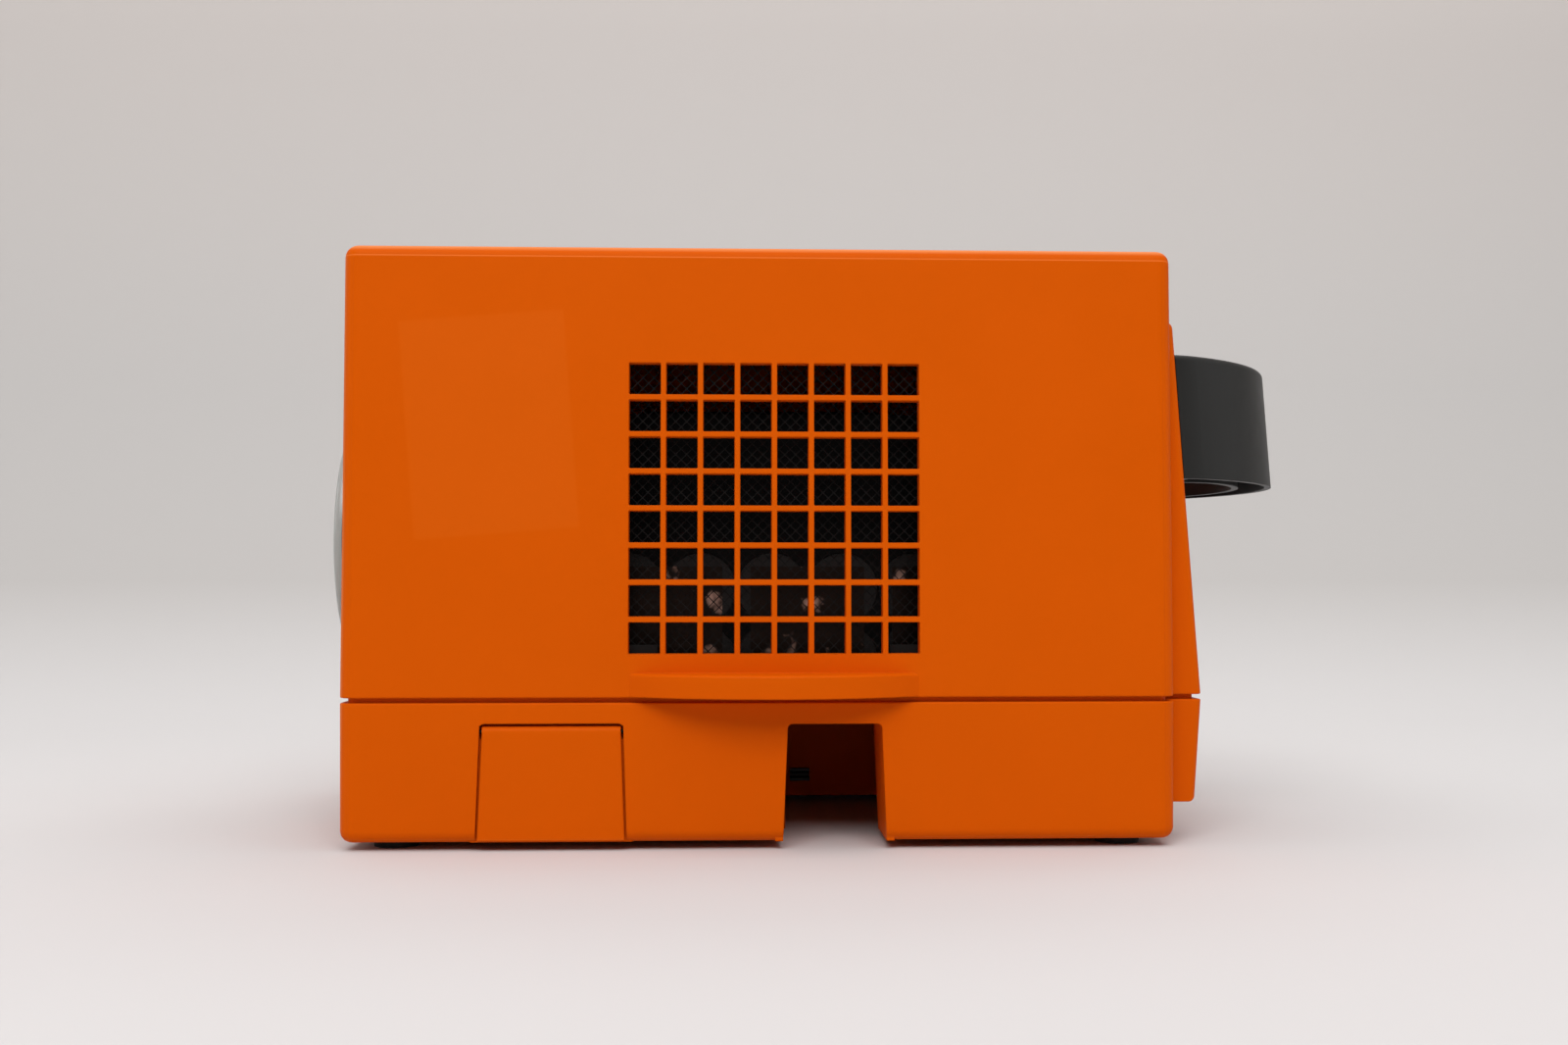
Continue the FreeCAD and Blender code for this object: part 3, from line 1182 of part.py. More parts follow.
def grille_backing(label_side, sign):
    """The frame and the mesh behind one grille; the sign picks the long side."""
    def across(distance):
        return f"{sign} * ({RIB_BACK} - ({distance}))"

    def sheet_block(name, half_x, low_z, high_z, start, end):
        sides = sorted((across(start), across(end)), key=number)
        return span(name, (f"grille_x - ({half_x})", sides[0], low_z),
                    (f"grille_x + ({half_x})", sides[1], high_z))

    half = f"({FIELD} / 2)"
    outer = f"({half} + grille_rim)"
    plate = sheet_block("frame_plate", outer, f"grille_z - {outer}", f"grille_z + {outer}", "0",
                        "mesh_frame")
    hole = sheet_block("frame_hole", f"{half} + 0.2", f"grille_z - {half} + mesh_tab",
                       f"grille_z + {half} + 0.2", "-1", "mesh_frame + 1")
    low_hole = sheet_block("frame_low_hole", f"{half} - cell_size + 1",
                           f"grille_z - {half} - 0.2", f"grille_z - {half} + mesh_tab + 1", "-1",
                           "mesh_frame + 1")
    node("mesh_frame_" + label_side, cut("frame_cut", plate, hole, low_hole))
    mesh = sheet_block("mesh_plate", outer, f"grille_z - {outer}", f"grille_z + {outer}",
                       "mesh_frame", "mesh_frame + mesh_sheet")
    return node("grille_mesh_" + label_side, mesh)


# ---- cooling fan ----------------------------------------------------------------------------

FAN_BACK = f"({RIB_BACK} - mesh_frame - mesh_sheet)"
FAN_FRONT = f"({FAN_BACK} - fan_depth)"


def fan_rod(name, radius, start, end):
    """A cylinder on the fan's axis between two distances from the fan's inner face."""
    return rod(name, radius, f"({end}) - ({start})", ("grille_x", f"{FAN_FRONT} + ({start})",
                                                      "grille_z"), "y")


def fan_frame():
    case = block("fan_case", ("grille_x", f"({FAN_FRONT} + {FAN_BACK}) / 2", "grille_z"),
                 ("fan_size", "fan_depth", "fan_size"))
    duct = fan_rod("fan_duct", "fan_bore", "-1", "fan_depth + 1")
    holes = [rod("fan_hole", "2.2", "fan_depth + 2",
                 (f"grille_x + {sx} * (fan_size / 2 - 4.2)", f"{FAN_FRONT} - 1",
                  f"grille_z + {sz} * (fan_size / 2 - 4.2)"), "y") for sx, sz in corners()]
    stator = fan_rod("fan_stator", "14", "0", "2.5")
    bearing = fan_rod("fan_bearing", "3", "2", "14")
    struts = [block("fan_strut", ("grille_x", f"{FAN_FRONT} + 1.25", "grille_z"), size)
              for size in (("4", "2.5", "2 * fan_bore + 1"), ("2 * fan_bore + 1", "2.5", "4"))]
    bore = fan_rod("fan_bearing_bore", "1.55", "1", "15")
    solid = fuse("fan_solid", cut("fan_duct_cut", case, duct, *holes), stator, bearing, *struts)
    return node("fan_frame", cut("fan_cut", solid, bore))


def fan_rotor():
    chord, thick = "19", "1.8"
    blade = span("blade", ("hub_radius - 2", f"-{thick} / 2", f"-{chord} / 2"),
                 ("blade_tip + 3", f"{thick} / 2", f"{chord} / 2"))
    pitched = several("blade_pitched", blade)
    pitched.Placement = Placement(Vector(), Rotation(Vector(1, 0, 0), 35))
    count = round(number("blade_count"))
    blades = []
    for index in range(count):
        turned = several("blade_turned", pitched)
        turned.Placement = Placement(Vector(), Rotation(Vector(0, 1, 0), 360 * index / count))
        blades.append(turned)
    sweep = rod("blade_sweep", "blade_tip", "14", ("0", "-7", "0"), "y")
    vanes = common("vanes", fuse("blade_ring", *blades), sweep)
    hub = rod("fan_hub", "hub_radius", "15", ("0", "-7.5", "0"), "y")
    hollow = rod("hub_hollow", "hub_radius - 1.5", "12.5", ("0", "-8.5", "0"), "y")
    shaft = rod("fan_shaft", "1.5", "12.5", ("0", "-8", "0"), "y")
    solid = fuse("rotor_solid", cut("rotor_cut", fuse("rotor_blades", vanes, hub), hollow), shaft)
    return node("fan_rotor", solid, lambda part: put(part, ("grille_x", f"{FAN_FRONT} + 11",
                                                           "grille_z")))


# ---- battery pack ---------------------------------------------------------------------------

TRAY_TOP = f"({BAY_ROOF} + tray_sheet)"
PACK_LEFT = "(grille_x - cell_step * (cell_columns - 1) / 2)"
ROW_LOW = f"({TRAY_TOP} + holder_wall + cell_body)"
PACK_TOP = f"({ROW_LOW} + cell_step * (cell_rows - 1) + cell_body + holder_wall)"
PACK_HALF = "(cell_step * (cell_columns - 1) / 2 + cell_body + holder_wall)"
PACK_FAR = "(pack_front + 2 * cell_length + pack_split)"
BOARD_TOP = f"({PACK_TOP} + spacer_height + board_sheet)"


def cell_places():
    columns = range(round(number("cell_columns")))
    rows = range(round(number("cell_rows")))
    return [(f"({PACK_LEFT} + {i} * cell_step)", f"({ROW_LOW} + {j} * cell_step)")
            for i in columns for j in rows]


def battery_tray():
    plate = span("tray_plate", (f"grille_x - {PACK_HALF} - 5", "pack_front - 3", BAY_ROOF),
                 (f"grille_x + {PACK_HALF} + 5", f"{PACK_FAR} + 0.8", TRAY_TOP))
    return node("battery_tray", plate)


def battery_cells():
    cells = []
    for x, z in cell_places():
        for start in ("pack_front", "pack_front + cell_length + pack_split"):
            can = rod("cell_can", "cell_body", "cell_length", (x, start, z), "y")
            cells.append(can)
    return node("battery_cells", several("cells_all", *cells))


def cell_holder(label, start, end):
    slab_part = span(label + "_block", (f"grille_x - {PACK_HALF}", start, TRAY_TOP),
                     (f"grille_x + {PACK_HALF}", end, PACK_TOP))
    bores = [rod("cell_bore", "cell_body + 0.15", f"({end}) - ({start}) + 2",
                 (x, f"({start}) - 1", z), "y") for x, z in cell_places()]
    return node(label, cut(label + "_cut", slab_part, *bores))


def bus_strips():
    top_row = f"({ROW_LOW} + cell_step * (cell_rows - 1))"
    strips = []
    last = round(number("cell_columns")) - 1
    for y, first in ((PACK_FAR, 0), ("pack_front - strip_sheet", 1)):
        groups = [(0, 0)] if first else []
        groups += [(i, min(i + 1, last)) for i in range(first, last + 1, 2)]
        for left, right in groups:
            strips.append(span("strip", (f"{PACK_LEFT} + {left} * cell_step - 8", y,
                                         f"{ROW_LOW} - 8"),
                               (f"{PACK_LEFT} + {right} * cell_step + 8", f"{y} + strip_sheet",
                                f"{top_row} + 8")))
    for x, z in cell_places():
        strips.append(rod("contact", "5", "pack_split", (x, "pack_front + cell_length", z), "y"))
    return node("bus_strips", several("strips_all", *strips))


SPACERS = [(x, y) for x in ("board_left + 6", "board_right - 6")
           for y in ("pack_front + 5", "pack_front + cell_length + pack_split / 2", f"{PACK_FAR} - 5")]


def board_spacers():
    pegs = [rod("spacer", "3", "spacer_height", (x, y, PACK_TOP)) for x, y in SPACERS]
    return node("board_spacers", several("spacers", *pegs))


def inverter_board():
    sheet_part = span("inverter_sheet", ("board_left", "board_near", f"{BOARD_TOP} - board_sheet"),
                      ("board_right", "board_far", BOARD_TOP))
    chips = [span("chip", (x, y, f"{BOARD_TOP} - 0.1"), (f"{x} + {w}", f"{y} + {d}",
                                                       f"{BOARD_TOP} + {h}"))
             for x, y, w, d, h in (("-20", "-34", "14", "14", "2"), ("-10", "10", "10", "18", "3"),
                                   ("5", "-20", "18", "8", "6"), ("-80", "30", "14", "10", "12"),
                                   ("60", "-58", "20", "16", "14"), ("5", "35", "16", "12", "10"))]
    return node("inverter_board", fuse("inverter_solid", sheet_part, *chips))


def bms_board():
    plate = span("bms_sheet", ("-60", f"board_near - board_sheet", f"{PACK_TOP} + 0.2"),
                 ("75", "board_near", "shield_top"))
    return node("bms_board", plate)


def transformer_core():
    back = block("core_block", ("-50", "0", f"{BOARD_TOP} + 19"), ("44", "16", "38"))
    holes = [block("core_window", (f"-50 + {x}", "0", f"{BOARD_TOP} + 19"), ("9", "18", "26"))
             for x in ("-11.5", "11.5")]
    return node("transformer_core", cut("core_cut", back, *holes))


def transformer_coil():
    round_coil = slab("coil_block", ("-50", "0", f"{BOARD_TOP} + 19"), ("31", "32", "25"), "6")
    core_hole = block("coil_hole", ("-50", "0", f"{BOARD_TOP} + 19"), ("14.4", "16.4", "30"))
    return node("transformer_coil", cut("coil_cut", round_coil, core_hole))


def power_capacitors():
    cans = [rod("capacitor", "11", "35", (x, y, BOARD_TOP)) for x in ("-50", "-24")
            for y in ("-48", "44")]
    return node("power_capacitors", several("capacitors", *cans))


def heat_sink():
    base = span("sink_base", ("30", "-30", BOARD_TOP), ("95", "50", f"{BOARD_TOP} + 5"))
    fins = [span("sink_fin", (f"30 + {9 * i}", "-30", f"{BOARD_TOP} + 4"),
                 (f"32 + {9 * i}", "50", f"{BOARD_TOP} + 30")) for i in range(8)]
    return node("heat_sink", fuse("sink_solid", base, *fins))


# ---- service bay ----------------------------------------------------------------------------

SERVICE_BACK = f"(service_depth - {WIDTH_HALF})"
PANEL_FACE = f"({SERVICE_BACK} - 1.5)"


def service_door():
    leaf_back = f"(door_wall - {WIDTH_HALF})"
    front = number(f"-{WIDTH_HALF}") + 0.01
    plate = trapezoid_form("door_plate", "door_middle", "door_top_width", "door_foot_width",
                           "door_top", "door_wall", f"-{WIDTH_HALF}", "1.6", "door_foot")
    leaf = rounded("door_leaf", plate, "door_round",
                   lambda edge: all(corner.Y < front for corner in edge.Vertexes))
    barrel = rod("door_barrel_rod", "door_barrel", "door_top_width",
                 ("door_middle - door_top_width / 2", HINGE_Y, HINGE_Z), "x")
    crest = span("door_crest", ("door_middle - door_top_width / 2 - 1", f"{leaf_back} - 6",
                                HINGE_Z),
                 ("door_middle + door_top_width / 2 + 1", leaf_back, "door_top + 1"))
    trimmed = cut("door_trim", leaf, crest)
    bore = rod("door_bore", "door_pin + 0.05", "door_top_width + 2",
               ("door_middle - door_top_width / 2 - 1", HINGE_Y, HINGE_Z), "x")
    return node("service_door", cut("door_cut", fuse("door_solid", trimmed, barrel), bore))


def door_pin():
    return node("door_pin", rod("door_pin_rod", "door_pin", PIN_LENGTH,
                                (PIN_START, HINGE_Y, HINGE_Z), "x"))


def service_panel():
    half = "door_top_width / 2 - service_rim - 0.2"
    plate = span("service_plate", (f"door_middle - ({half})", PANEL_FACE, "service_low + 0.2"),
                 (f"door_middle + ({half})", SERVICE_BACK, "service_high - 0.2"))
    holes = [rod("plate_hole", radius, "4", (x, f"{PANEL_FACE} - 1", "service_z"), "y")
             for radius, x in (("jack_bore + 1.9", "jack_x"), ("reset_radius + 1.9", "breaker_x"))]
    return node("service_panel", cut("service_cut", plate, *holes))


def charge_jack():
    at = ("jack_x", f"{PANEL_FACE} - 2", "service_z")
    flange = rod("jack_flange", "jack_bore + 3.4", "2", at, "y")
    barrel = rod("jack_barrel", "jack_bore + 1.8", "14", at, "y")
    bore = rod("jack_hollow", "jack_bore", "11", (at[0], f"{at[1]} - 1", at[2]), "y")
    pin = rod("jack_pin", "1", "9", (at[0], f"{at[1]} + 2", at[2]), "y")
    return node("charge_jack", fuse("jack_solid", cut("jack_cut", fuse("jack_body", flange, barrel),
                                                      bore), pin))


def breaker_body():
    at = ("breaker_x", f"{PANEL_FACE} - 1.5", "service_z")
    flange = rod("breaker_flange", "reset_radius + 3", "1.5", at, "y")
    barrel = rod("breaker_barrel", "reset_radius + 1.8", "16", at, "y")
    bore = rod("breaker_bore", "reset_radius + 0.3", "12.5", (at[0], f"{at[1]} - 1", at[2]), "y")
    return node("breaker_body", cut("breaker_cut", fuse("breaker_solid", flange, barrel), bore))


def breaker_button():
    plug = rod("reset_plug", "reset_radius", "12", ("breaker_x", f"{PANEL_FACE} - 4.5",
                                                    "service_z"), "y")
    front = number(f"{PANEL_FACE} - 4.5")
    soft = rounded("reset_round", plug, "0.6", lambda edge: len(edge.Vertexes) == 1
                   and abs(edge.CenterOfMass.y - front) < 0.01)
    return node("breaker_button", soft)


# ---- mains inlet, cord clip and wires -------------------------------------------------------

def mains_inlet():
    flange = block("inlet_flange", ("inlet_x", "bay_back - 1", "inlet_z"), ("30", "2", "22"))
    body = block("inlet_body", ("inlet_x", "bay_back + 11", "inlet_z"), ("22", "22", "15"))
    cavity = slab("inlet_cavity", ("0", "0", "0"), ("16.6", "8.8", "15"), "4.2")
    turned = put(several("inlet_cavity_turned", cavity), ("inlet_x", "bay_back + 5.4", "inlet_z"),
                 TURNS["y"])
    pins = [rod("inlet_pin", "1.2", "13", (f"inlet_x + {u}", "bay_back + 1", "inlet_z"), "y")
            for u in ("-4.3", "4.3")]
    shell = cut("inlet_cut", fuse("inlet_case", flange, body), turned)
    return node("mains_inlet", fuse("inlet_solid", shell, *pins))


def cord_clip():
    pad = block("clip_pad", ("clip_x", "bay_back - 1.5", "clip_z"), ("8.4", "3", "5.2"))
    groove = rod("clip_groove", "1.5", "10", ("clip_x - 5", "bay_back - 3.2", "clip_z"), "x")
    return node("cord_clip", cut("clip_cut", pad, groove))


def lead(name, radius, x, route):
    """A round wire in an upright plane at one X, through right-angled bends."""
    spots = [(number(y), number(z)) for y, z in route]
    steps = [(b[0] - a[0], b[1] - a[1]) for a, b in zip(spots, spots[1:])]
    ways = [Vector(0, (dy > 0.001) - (dy < -0.001), (dz > 0.001) - (dz < -0.001))
            for dy, dz in steps]
    pieces = []
    for i, way in enumerate(ways):
        trims = ("0" if i == 0 else "lead_bend", "0" if i == len(ways) - 1 else "lead_bend")
        start, end = route[i], route[i + 1]
        if way.y:
            lows = (f"({start[0]}) + {way.y:.0f} * {trims[0]}", f"({end[0]}) - {way.y:.0f} * {trims[1]}")
            low, high = sorted(lows, key=number)
            pieces.append(rod(name + "_run", radius, f"({high}) - ({low})", (x, low, start[1]), "y"))
        else:
            lows = (f"({start[1]}) + {way.z:.0f} * {trims[0]}", f"({end[1]}) - {way.z:.0f} * {trims[1]}")
            low, high = sorted(lows, key=number)
            pieces.append(rod(name + "_rise", radius, f"({high}) - ({low})", (x, start[0], low)))
    for i in range(1, len(ways)):
        before, after = ways[i - 1], ways[i]
        elbow = doc.addObject("Part::Torus", name + "_elbow")
        bind(elbow, Radius1="lead_bend", Radius2=radius)
        elbow.Angle3 = 90
        shift = after - before
        put(elbow, (x, f"({route[i][0]}) + {shift.y:.0f} * lead_bend",
                    f"({route[i][1]}) + {shift.z:.0f} * lead_bend"),
            Rotation(-after, before, (-after).cross(before), "XYZ"))
        pieces.append(elbow)
    return fuse(name, *pieces)


def mains_lead():
    out = f"({PACK_FAR} + 5.6)"
    up = f"({BOARD_TOP} + 9)"
    route = [("bay_back + 22", "inlet_z"), (out, "inlet_z"), (out, up), ("board_far - 6", up),
             ("board_far - 6", BOARD_TOP)]
    return node("mains_lead", lead("mains_wire", "mains_radius", "inlet_x", route))


def battery_leads():
    out = f"({PACK_FAR} + strip_sheet + 6)"
    up = f"({BOARD_TOP} + 7)"
    high_row = f"({ROW_LOW} + cell_step * (cell_rows - 1))"
    route = [(f"{PACK_FAR} + strip_sheet", high_row), (out, high_row), (out, up),
             ("board_far - 4", up), ("board_far - 4", BOARD_TOP)]
    wires = [lead("battery_wire", "lead_radius", x, route)
             for x in (f"{PACK_LEFT} + cell_step / 2", f"{PACK_LEFT} + cell_step * (cell_columns - 2)")]
    return node("battery_leads", several("battery_wires", *wires))


# ---- build ----------------------------------------------------------------------------------

upper_shell()
lower_shell()
rubber_feet()
case_screws()
carry_handle()
handle_screws()
front_panel()
panel_board()
rocker_frame()
main_rocker()
ac_outlet()
display_window()
display_module()
for place, title in enumerate(("ac_button", "dc_button", "lamp_button")):
    button(title, place)
usb_a_ports()
usb_c_port()
dc_socket()
dc_socket_lid()
lid_pin()
dimmer_knob()
dimmer_base()
lamp_bezel()
lamp_lens()
lamp_reflector()
lamp_board()
grille_backing("near", -1)
grille_backing("far", 1)
fan_frame()
fan_rotor()
battery_tray()
battery_cells()
cell_holder("cell_holder_near", "pack_front", "pack_front + holder_depth")
cell_holder("cell_holder_middle", "pack_front + cell_length - 5",
            "pack_front + cell_length + pack_split + 5")
cell_holder("cell_holder_far", f"{PACK_FAR} - holder_depth", PACK_FAR)
bus_strips()
board_spacers()
inverter_board()
bms_board()
transformer_core()
transformer_coil()
power_capacitors()
heat_sink()
service_door()
door_pin()
service_panel()
charge_jack()
breaker_body()
breaker_button()
mains_inlet()
cord_clip()
mains_lead()
battery_leads()

doc.recompute()
broken = [item.Label for item in doc.Objects if "Invalid" in item.State or "Error" in item.State]
if broken:
    raise RuntimeError("objects that failed to compute: " + ", ".join(broken))
for item in NODES:
    if item.Shape.isNull() or not item.Shape.isValid():
        raise RuntimeError("no valid solid for " + item.Label)
front = f"{nose_x('handle_low')} + handle_reach"
back = f"{LENGTH_HALF} + lamp_reach"
to_middle = Vector(-number(f"(({front}) - ({back})) / 2"), 0, 0)
os.makedirs("parts", exist_ok=True)
for item in NODES:
    solid = item.Shape.copy()
    solid.translate(to_middle)
    solid.exportStep(f"parts/{item.Label}.step")
print(f"{len(NODES)} sub-parts written, {-to_middle.x:.3f} mm back from the drawing's origin")
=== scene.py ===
# %% [markdown]
# # A portable power station
# The scene starts from the finished CAD model, which holds every piece at its real size.
# Blender adds what the CAD model leaves out: the finish of each moulding, the open net
# behind the vents, the print on the control panel, the floor, the lamps and the camera.
# Everything is in metres, with the floor at height zero.

# %% Load the CAD model
import math

import bpy
from mathutils import Matrix, Vector


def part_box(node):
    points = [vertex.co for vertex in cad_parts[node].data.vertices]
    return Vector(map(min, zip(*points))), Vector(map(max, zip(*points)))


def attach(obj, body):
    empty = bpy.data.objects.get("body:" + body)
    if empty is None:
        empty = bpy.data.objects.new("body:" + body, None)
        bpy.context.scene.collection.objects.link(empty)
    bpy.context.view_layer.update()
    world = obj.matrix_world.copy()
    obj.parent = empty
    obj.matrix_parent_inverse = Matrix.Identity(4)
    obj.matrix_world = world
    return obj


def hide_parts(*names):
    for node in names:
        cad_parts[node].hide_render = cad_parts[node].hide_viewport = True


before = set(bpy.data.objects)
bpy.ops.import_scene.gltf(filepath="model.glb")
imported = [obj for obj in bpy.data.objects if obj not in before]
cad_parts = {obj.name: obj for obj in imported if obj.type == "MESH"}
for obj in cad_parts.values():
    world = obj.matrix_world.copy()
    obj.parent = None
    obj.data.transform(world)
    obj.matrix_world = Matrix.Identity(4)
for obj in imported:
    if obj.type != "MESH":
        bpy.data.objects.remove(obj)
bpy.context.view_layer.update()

# %% [markdown]
# ## Small tools
# Colours are written the way a paint chart gives them, as sRGB hex values, and one function
# turns them to the linear numbers that the renderer works in.  Another small function adds a
# node with its settings and links, so that each material reads as a short list.
# Pattern scales are worked out from a size in millimetres.

# %% Colour, node and selection helpers
def colour(hex_value, alpha=1.0):
    """sRGB hex such as "ff8800" as linear red, green, blue and alpha."""
    parts = [int(hex_value[i:i + 2], 16) / 255 for i in (0, 2, 4)]
    linear = [c / 12.92 if c <= 0.04045 else ((c + 0.055) / 1.055) ** 2.4 for c in parts]
    return (*linear, alpha)


def add(tree, kind, settings=None, **sockets):
    """Add a node; a socket takes a plain value or another node's output."""
    node = tree.nodes.new(kind)
    for name, value in (settings or {}).items():
        setattr(node, name, value)
    for name, value in sockets.items():
        socket = node.inputs[int(name[1:])] if name[0] == "i" and name[1:].isdigit() \
            else node.inputs[name.replace("_", " ")]
        if isinstance(value, bpy.types.NodeSocket):
            tree.links.new(value, socket)
        else:
            socket.default_value = value
    return node


def per_metre(millimetres):
    """A texture scale whose features are about this far apart."""
    return 1000 / millimetres


def clear_selection():
    if bpy.context.object and bpy.context.object.mode != "OBJECT":
        bpy.ops.object.mode_set(mode="OBJECT")
    bpy.ops.object.select_all(action="DESELECT")


clear_selection()
print("middle grey in linear light:", [round(c, 3) for c in colour("808080")])

# %% [markdown]
# ## A base for moulded plastics
# Almost every visible piece is injection moulded.  The steel mould is spark eroded, which
# leaves a fine grain on the plastic: tiny bumps a fraction of a millimetre apart that spread
# the highlights.  Handling then polishes some places and leaves faint smears on others, so
# roughness and colour both wander a little over a few centimetres.  A mould's edges are never
# quite sharp, so a Bevel node rounds the shading of each edge by a fraction of a millimetre
# without any change to the mesh.

# %% Moulded plastic
def new_material(name):
    material = bpy.data.materials.new(name)
    material.use_nodes = True
    tree = material.node_tree
    tree.nodes.clear()
    shader = add(tree, "ShaderNodeBsdfPrincipled")
    output = add(tree, "ShaderNodeOutputMaterial")
    tree.links.new(shader.outputs["BSDF"], output.inputs["Surface"])
    return material, tree, shader


def moulded(name, hex_value, roughness, grain_mm=0.9, grain_depth_mm=0.012, tone=0.06, ior=1.5,
            gloss=0.3, edge_mm=0.2):
    """Moulded plastic with a spark-eroded grain and faint handling marks."""
    material, tree, shader = new_material(name)
    place = add(tree, "ShaderNodeTexCoord").outputs["Object"]
    smear = add(tree, "ShaderNodeTexNoise", Vector=place, Scale=per_metre(38), Detail=4.0,
                Roughness=0.6)
    grain = add(tree, "ShaderNodeTexNoise", Vector=place, Scale=per_metre(grain_mm), Detail=2.0)
    base = colour(hex_value)
    darker = tuple(c * (1 - tone) for c in base[:3]) + (1.0,)
    lighter = tuple(min(1.0, c * (1 + tone)) for c in base[:3]) + (1.0,)
    mix = add(tree, "ShaderNodeMix", {"data_type": "RGBA"}, i0=smear.outputs["Fac"], i6=darker,
              i7=lighter)
    polish = add(tree, "ShaderNodeMapRange", Value=smear.outputs["Fac"], From_Min=0.3,
                 From_Max=0.7, To_Min=roughness - 0.05, To_Max=roughness + 0.05)
    edges = add(tree, "ShaderNodeBevel", {"samples": 4}, Radius=edge_mm / 1000)
    bump = add(tree, "ShaderNodeBump", Height=grain.outputs["Fac"], Strength=0.7,
               Distance=grain_depth_mm / 1000, Normal=edges.outputs["Normal"])
    tree.links.new(mix.outputs[2], shader.inputs["Base Color"])
    tree.links.new(polish.outputs["Result"], shader.inputs["Roughness"])
    tree.links.new(bump.outputs["Normal"], shader.inputs["Normal"])
    shader.inputs["IOR"].default_value = ior
    shader.inputs["Specular IOR Level"].default_value = gloss
    return material, tree, shader


def finish_nodes(material, *nodes):
    """Give CAD nodes a finished material in place of their plain one."""
    for name in nodes:
        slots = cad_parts[name].material_slots
        for slot in slots:
            slot.material = material
    print(material.name, "on", ", ".join(nodes))


# %% [markdown]
# ## Orange ABS shells
# Both shells and the service door are moulded in one dyed-through orange ABS.  ABS has an
# IOR of about 1.53.  Its usual specular level would lay a white veil over this strong orange,
# so the level here is matched and set far below the usual 0.5; under other lamps the
# shells may look too matt.  The big side faces stand a hair proud of a narrow border.  A
# barely visible blank patch on the near side looks as if a label had been stuck there.  A few
# grey specks finish it.  All of it is drawn by place on the shell, so it stays put whatever
# the view.

# %% Orange ABS
shell_low, shell_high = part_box("upper_shell")
base_low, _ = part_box("lower_shell")
HOUSING_LENGTH = 0.300
SIDE_LEFT = base_low.x
SIDE_RIGHT = SIDE_LEFT + HOUSING_LENGTH
BORDER = 0.0041
BORDER_STEP = 0.00012
FOOT_LINE = 0.0043
NEAR_SIDE = -0.090
LABEL_MIDDLE = Vector((-0.1196, 0.0, 0.1518))
LABEL_HALF_WIDTH = 0.0295
LABEL_HALF_HEIGHT = 0.0393
SHELL_ORANGE = "d55700"


def ramp(tree, value, start, end):
    """0 before start, 1 after end, in a straight line between."""
    return add(tree, "ShaderNodeMapRange", {"clamp": True}, Value=value, From_Min=start,
               From_Max=end, To_Min=0.0, To_Max=1.0).outputs["Result"]


def maths(tree, operation, one, other=0.0):
    return add(tree, "ShaderNodeMath", {"operation": operation}, i0=one, i1=other).outputs[0]


def band(tree, value, low, high, soft):
    """1 between low and high, falling to 0 over a soft edge."""
    rise = ramp(tree, value, low - soft, low + soft)
    fall = ramp(tree, value, high - soft, high + soft)
    return maths(tree, "SUBTRACT", rise, fall)


def overlay(tree, shader, share, hex_value):
    """Lay a colour over what the base colour already shows, by a share from 0 to 1."""
    plain = shader.inputs["Base Color"].links[0].from_socket
    mix = add(tree, "ShaderNodeMix", {"data_type": "RGBA"}, i0=share, i6=plain,
              i7=colour(hex_value))
    tree.links.new(mix.outputs[2], shader.inputs["Base Color"])


